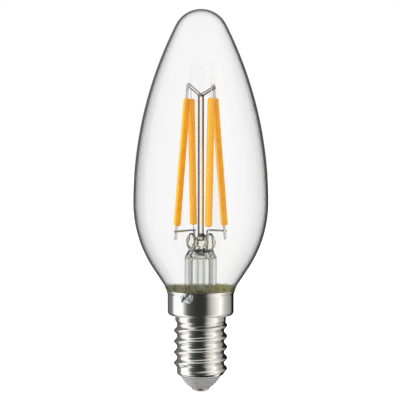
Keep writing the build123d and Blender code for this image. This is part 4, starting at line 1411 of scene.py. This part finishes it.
# %% Filament coats: their phosphor
PHOSPHOR_PAINTED_GLOW = (0.86, 0.45, 0.05)
GOLDEN_PHOSPHOR = (0.80, 0.37, 0.01)
DEEP_PHOSPHOR = (0.75, 0.31, 0.006)
DUSTY_PHOSPHOR = (1.0, 0.90, 0.62)
COAT_REACH = 0.3 * MM       # how far light wanders in the silicone
PAINTED_GLOW_BESIDE_STRIP = (0.55 * MM, 0.88 * MM)   # from the strip's edge to the coat's
PHOSPHOR_GRAIN = 0.01 * MM


def phosphor():
    material, tree, shader = new_finish("phosphor_silicone_soft", {
        "Roughness": 0.5, "IOR": 1.41, "Specular IOR Level": 0.25,
        "Sheen Weight": 0.55, "Sheen Roughness": 0.35, "Sheen Tint": DUSTY_PHOSPHOR,
        "Subsurface Weight": 0.3, "Subsurface Scale": COAT_REACH, "Subsurface Radius": (1.0, 0.7, 0.2),
    })
    tones = place_group(tree, tone_drift, Light_Tone=GOLDEN_PHOSPHOR, Dark_Tone=DEEP_PHOSPHOR, Scale=500.0)
    # Painted glow: the thin edges beside the strip are painted paler, for the light shining through them.
    painted_glow_share = smooth_step(tree, calculate(tree, "ABSOLUTE", own_axis(tree, "X")), *PAINTED_GLOW_BESIDE_STRIP)
    tree.links.new(blend_colours(tree, painted_glow_share, tones["Color"], PHOSPHOR_PAINTED_GLOW), shader.inputs["Base Color"])
    relief(tree, shader, place_group(tree, fine_grain, Scale=1400.0)["Height"], PHOSPHOR_GRAIN)
    return material


soft_phosphor = phosphor()
for name in FILAMENTS:
    place = strip_frame(name)
    mesh = coat_mesh(name, *coat_size(name, place))
    solid = f"filament_{name}_coat"
    add_piece(f"phosphor_coat_{name}", mesh, soft_phosphor, "phosphor_silicone", solid, place=place)

# %% [markdown]
# The remaining solids already have the right form: wires, tabs, strips and the parts of the driver inside
# the cap. They keep their meshes and get finishes of their own, of the same two kinds as before.
# The wire at the top is bright and smooth, the leads are grey from the flame.

# %% Finishes for the solids that stay
WIRE_SCRATCHES = 1500.0
# light tone, dark tone, polish, dullness, depth of the marks
METALS = {
    "bright_wire": ((0.93, 0.93, 0.93), (0.84, 0.84, 0.84), 0.04, 0.12, MARK_DEPTH / 2),
    "grey_wire": ((0.52, 0.51, 0.50), (0.36, 0.35, 0.34), 0.24, 0.3, MARK_DEPTH),
    "stamped_tab": ((0.80, 0.79, 0.77), (0.64, 0.63, 0.60), 0.20, 0.3, MARK_DEPTH),
    "supply_tin": ((0.74, 0.72, 0.68), (0.58, 0.55, 0.50), 0.25, 0.3, MARK_DEPTH),
}
# roughness, light tone, dark tone, patches and grains per metre
MATT_FINISHES = {
    "ceramic_strip": (0.5, (0.86, 0.85, 0.80), (0.74, 0.73, 0.68), 600.0, 4000.0),
    "chip_blue": (0.3, (0.20, 0.24, 0.42), (0.12, 0.15, 0.30), 1500.0, 5000.0),
    "board_resin": (0.45, (0.07, 0.20, 0.10), (0.04, 0.13, 0.06), 500.0, 3000.0),
    "can_sleeve": (0.35, (0.05, 0.06, 0.09), (0.02, 0.025, 0.04), 500.0, 2500.0),
    "resistor_lacquer": (0.4, (0.30, 0.45, 0.48), (0.20, 0.33, 0.37), 700.0, 2500.0),
    "package_resin": (0.6, (0.035, 0.035, 0.037), (0.018, 0.018, 0.02), 700.0, 4000.0),
}
finishes = {}
for name, (light, dark, polish, dullness, depth) in METALS.items():
    finishes[name] = bright_metal(name, light, dark, polish, dullness, WIRE_SCRATCHES, depth)
for name, (roughness, *tones_and_scales) in MATT_FINISHES.items():
    finishes[name] = two_tone(name, {"Roughness": roughness}, *tones_and_scales)
print("finishes:", ", ".join(finishes))

# %% [markdown]
# A solid that stays gets its finish in the material slot it came with. The list goes from a finish to the
# solids that wear it, since several of them share one.

# %% Solids that stay
WORN_BY = {
    "bright_wire": ["top_wire"],
    "grey_wire": ["left_lead", "right_lead", "rear_branch", "front_branch"],
    "board_resin": ["driver_board"],
    "can_sleeve": ["smoothing_capacitor"],
    "resistor_lacquer": ["fuse_resistor"],
    "package_resin": ["bridge_rectifier", "driver_chip"],
    "supply_tin": ["live_wire", "neutral_wire"],
    "ceramic_strip": [f"filament_{name}_strip" for name in FILAMENTS],
    "chip_blue": [f"filament_{name}_chips" for name in FILAMENTS],
    "stamped_tab": [f"filament_{name}_{end}_tab" for name in FILAMENTS for end in ("foot", "top")],
}
for finish, wearers in WORN_BY.items():
    for node in wearers:
        nodes[node].material_slots[0].material = finishes[finish]
print("kept solids:", sum(len(wearers) for wearers in WORN_BY.values()))

# %% [markdown]
# The last cell prints the solids' box. The dressed lamp's box should agree with it to a few hundredths of a
# millimetre, because looks never change a size.

# %% Sizes and finish
print("cad box", [round(v / MM, 3) for v in (*cad_low, *cad_high)])
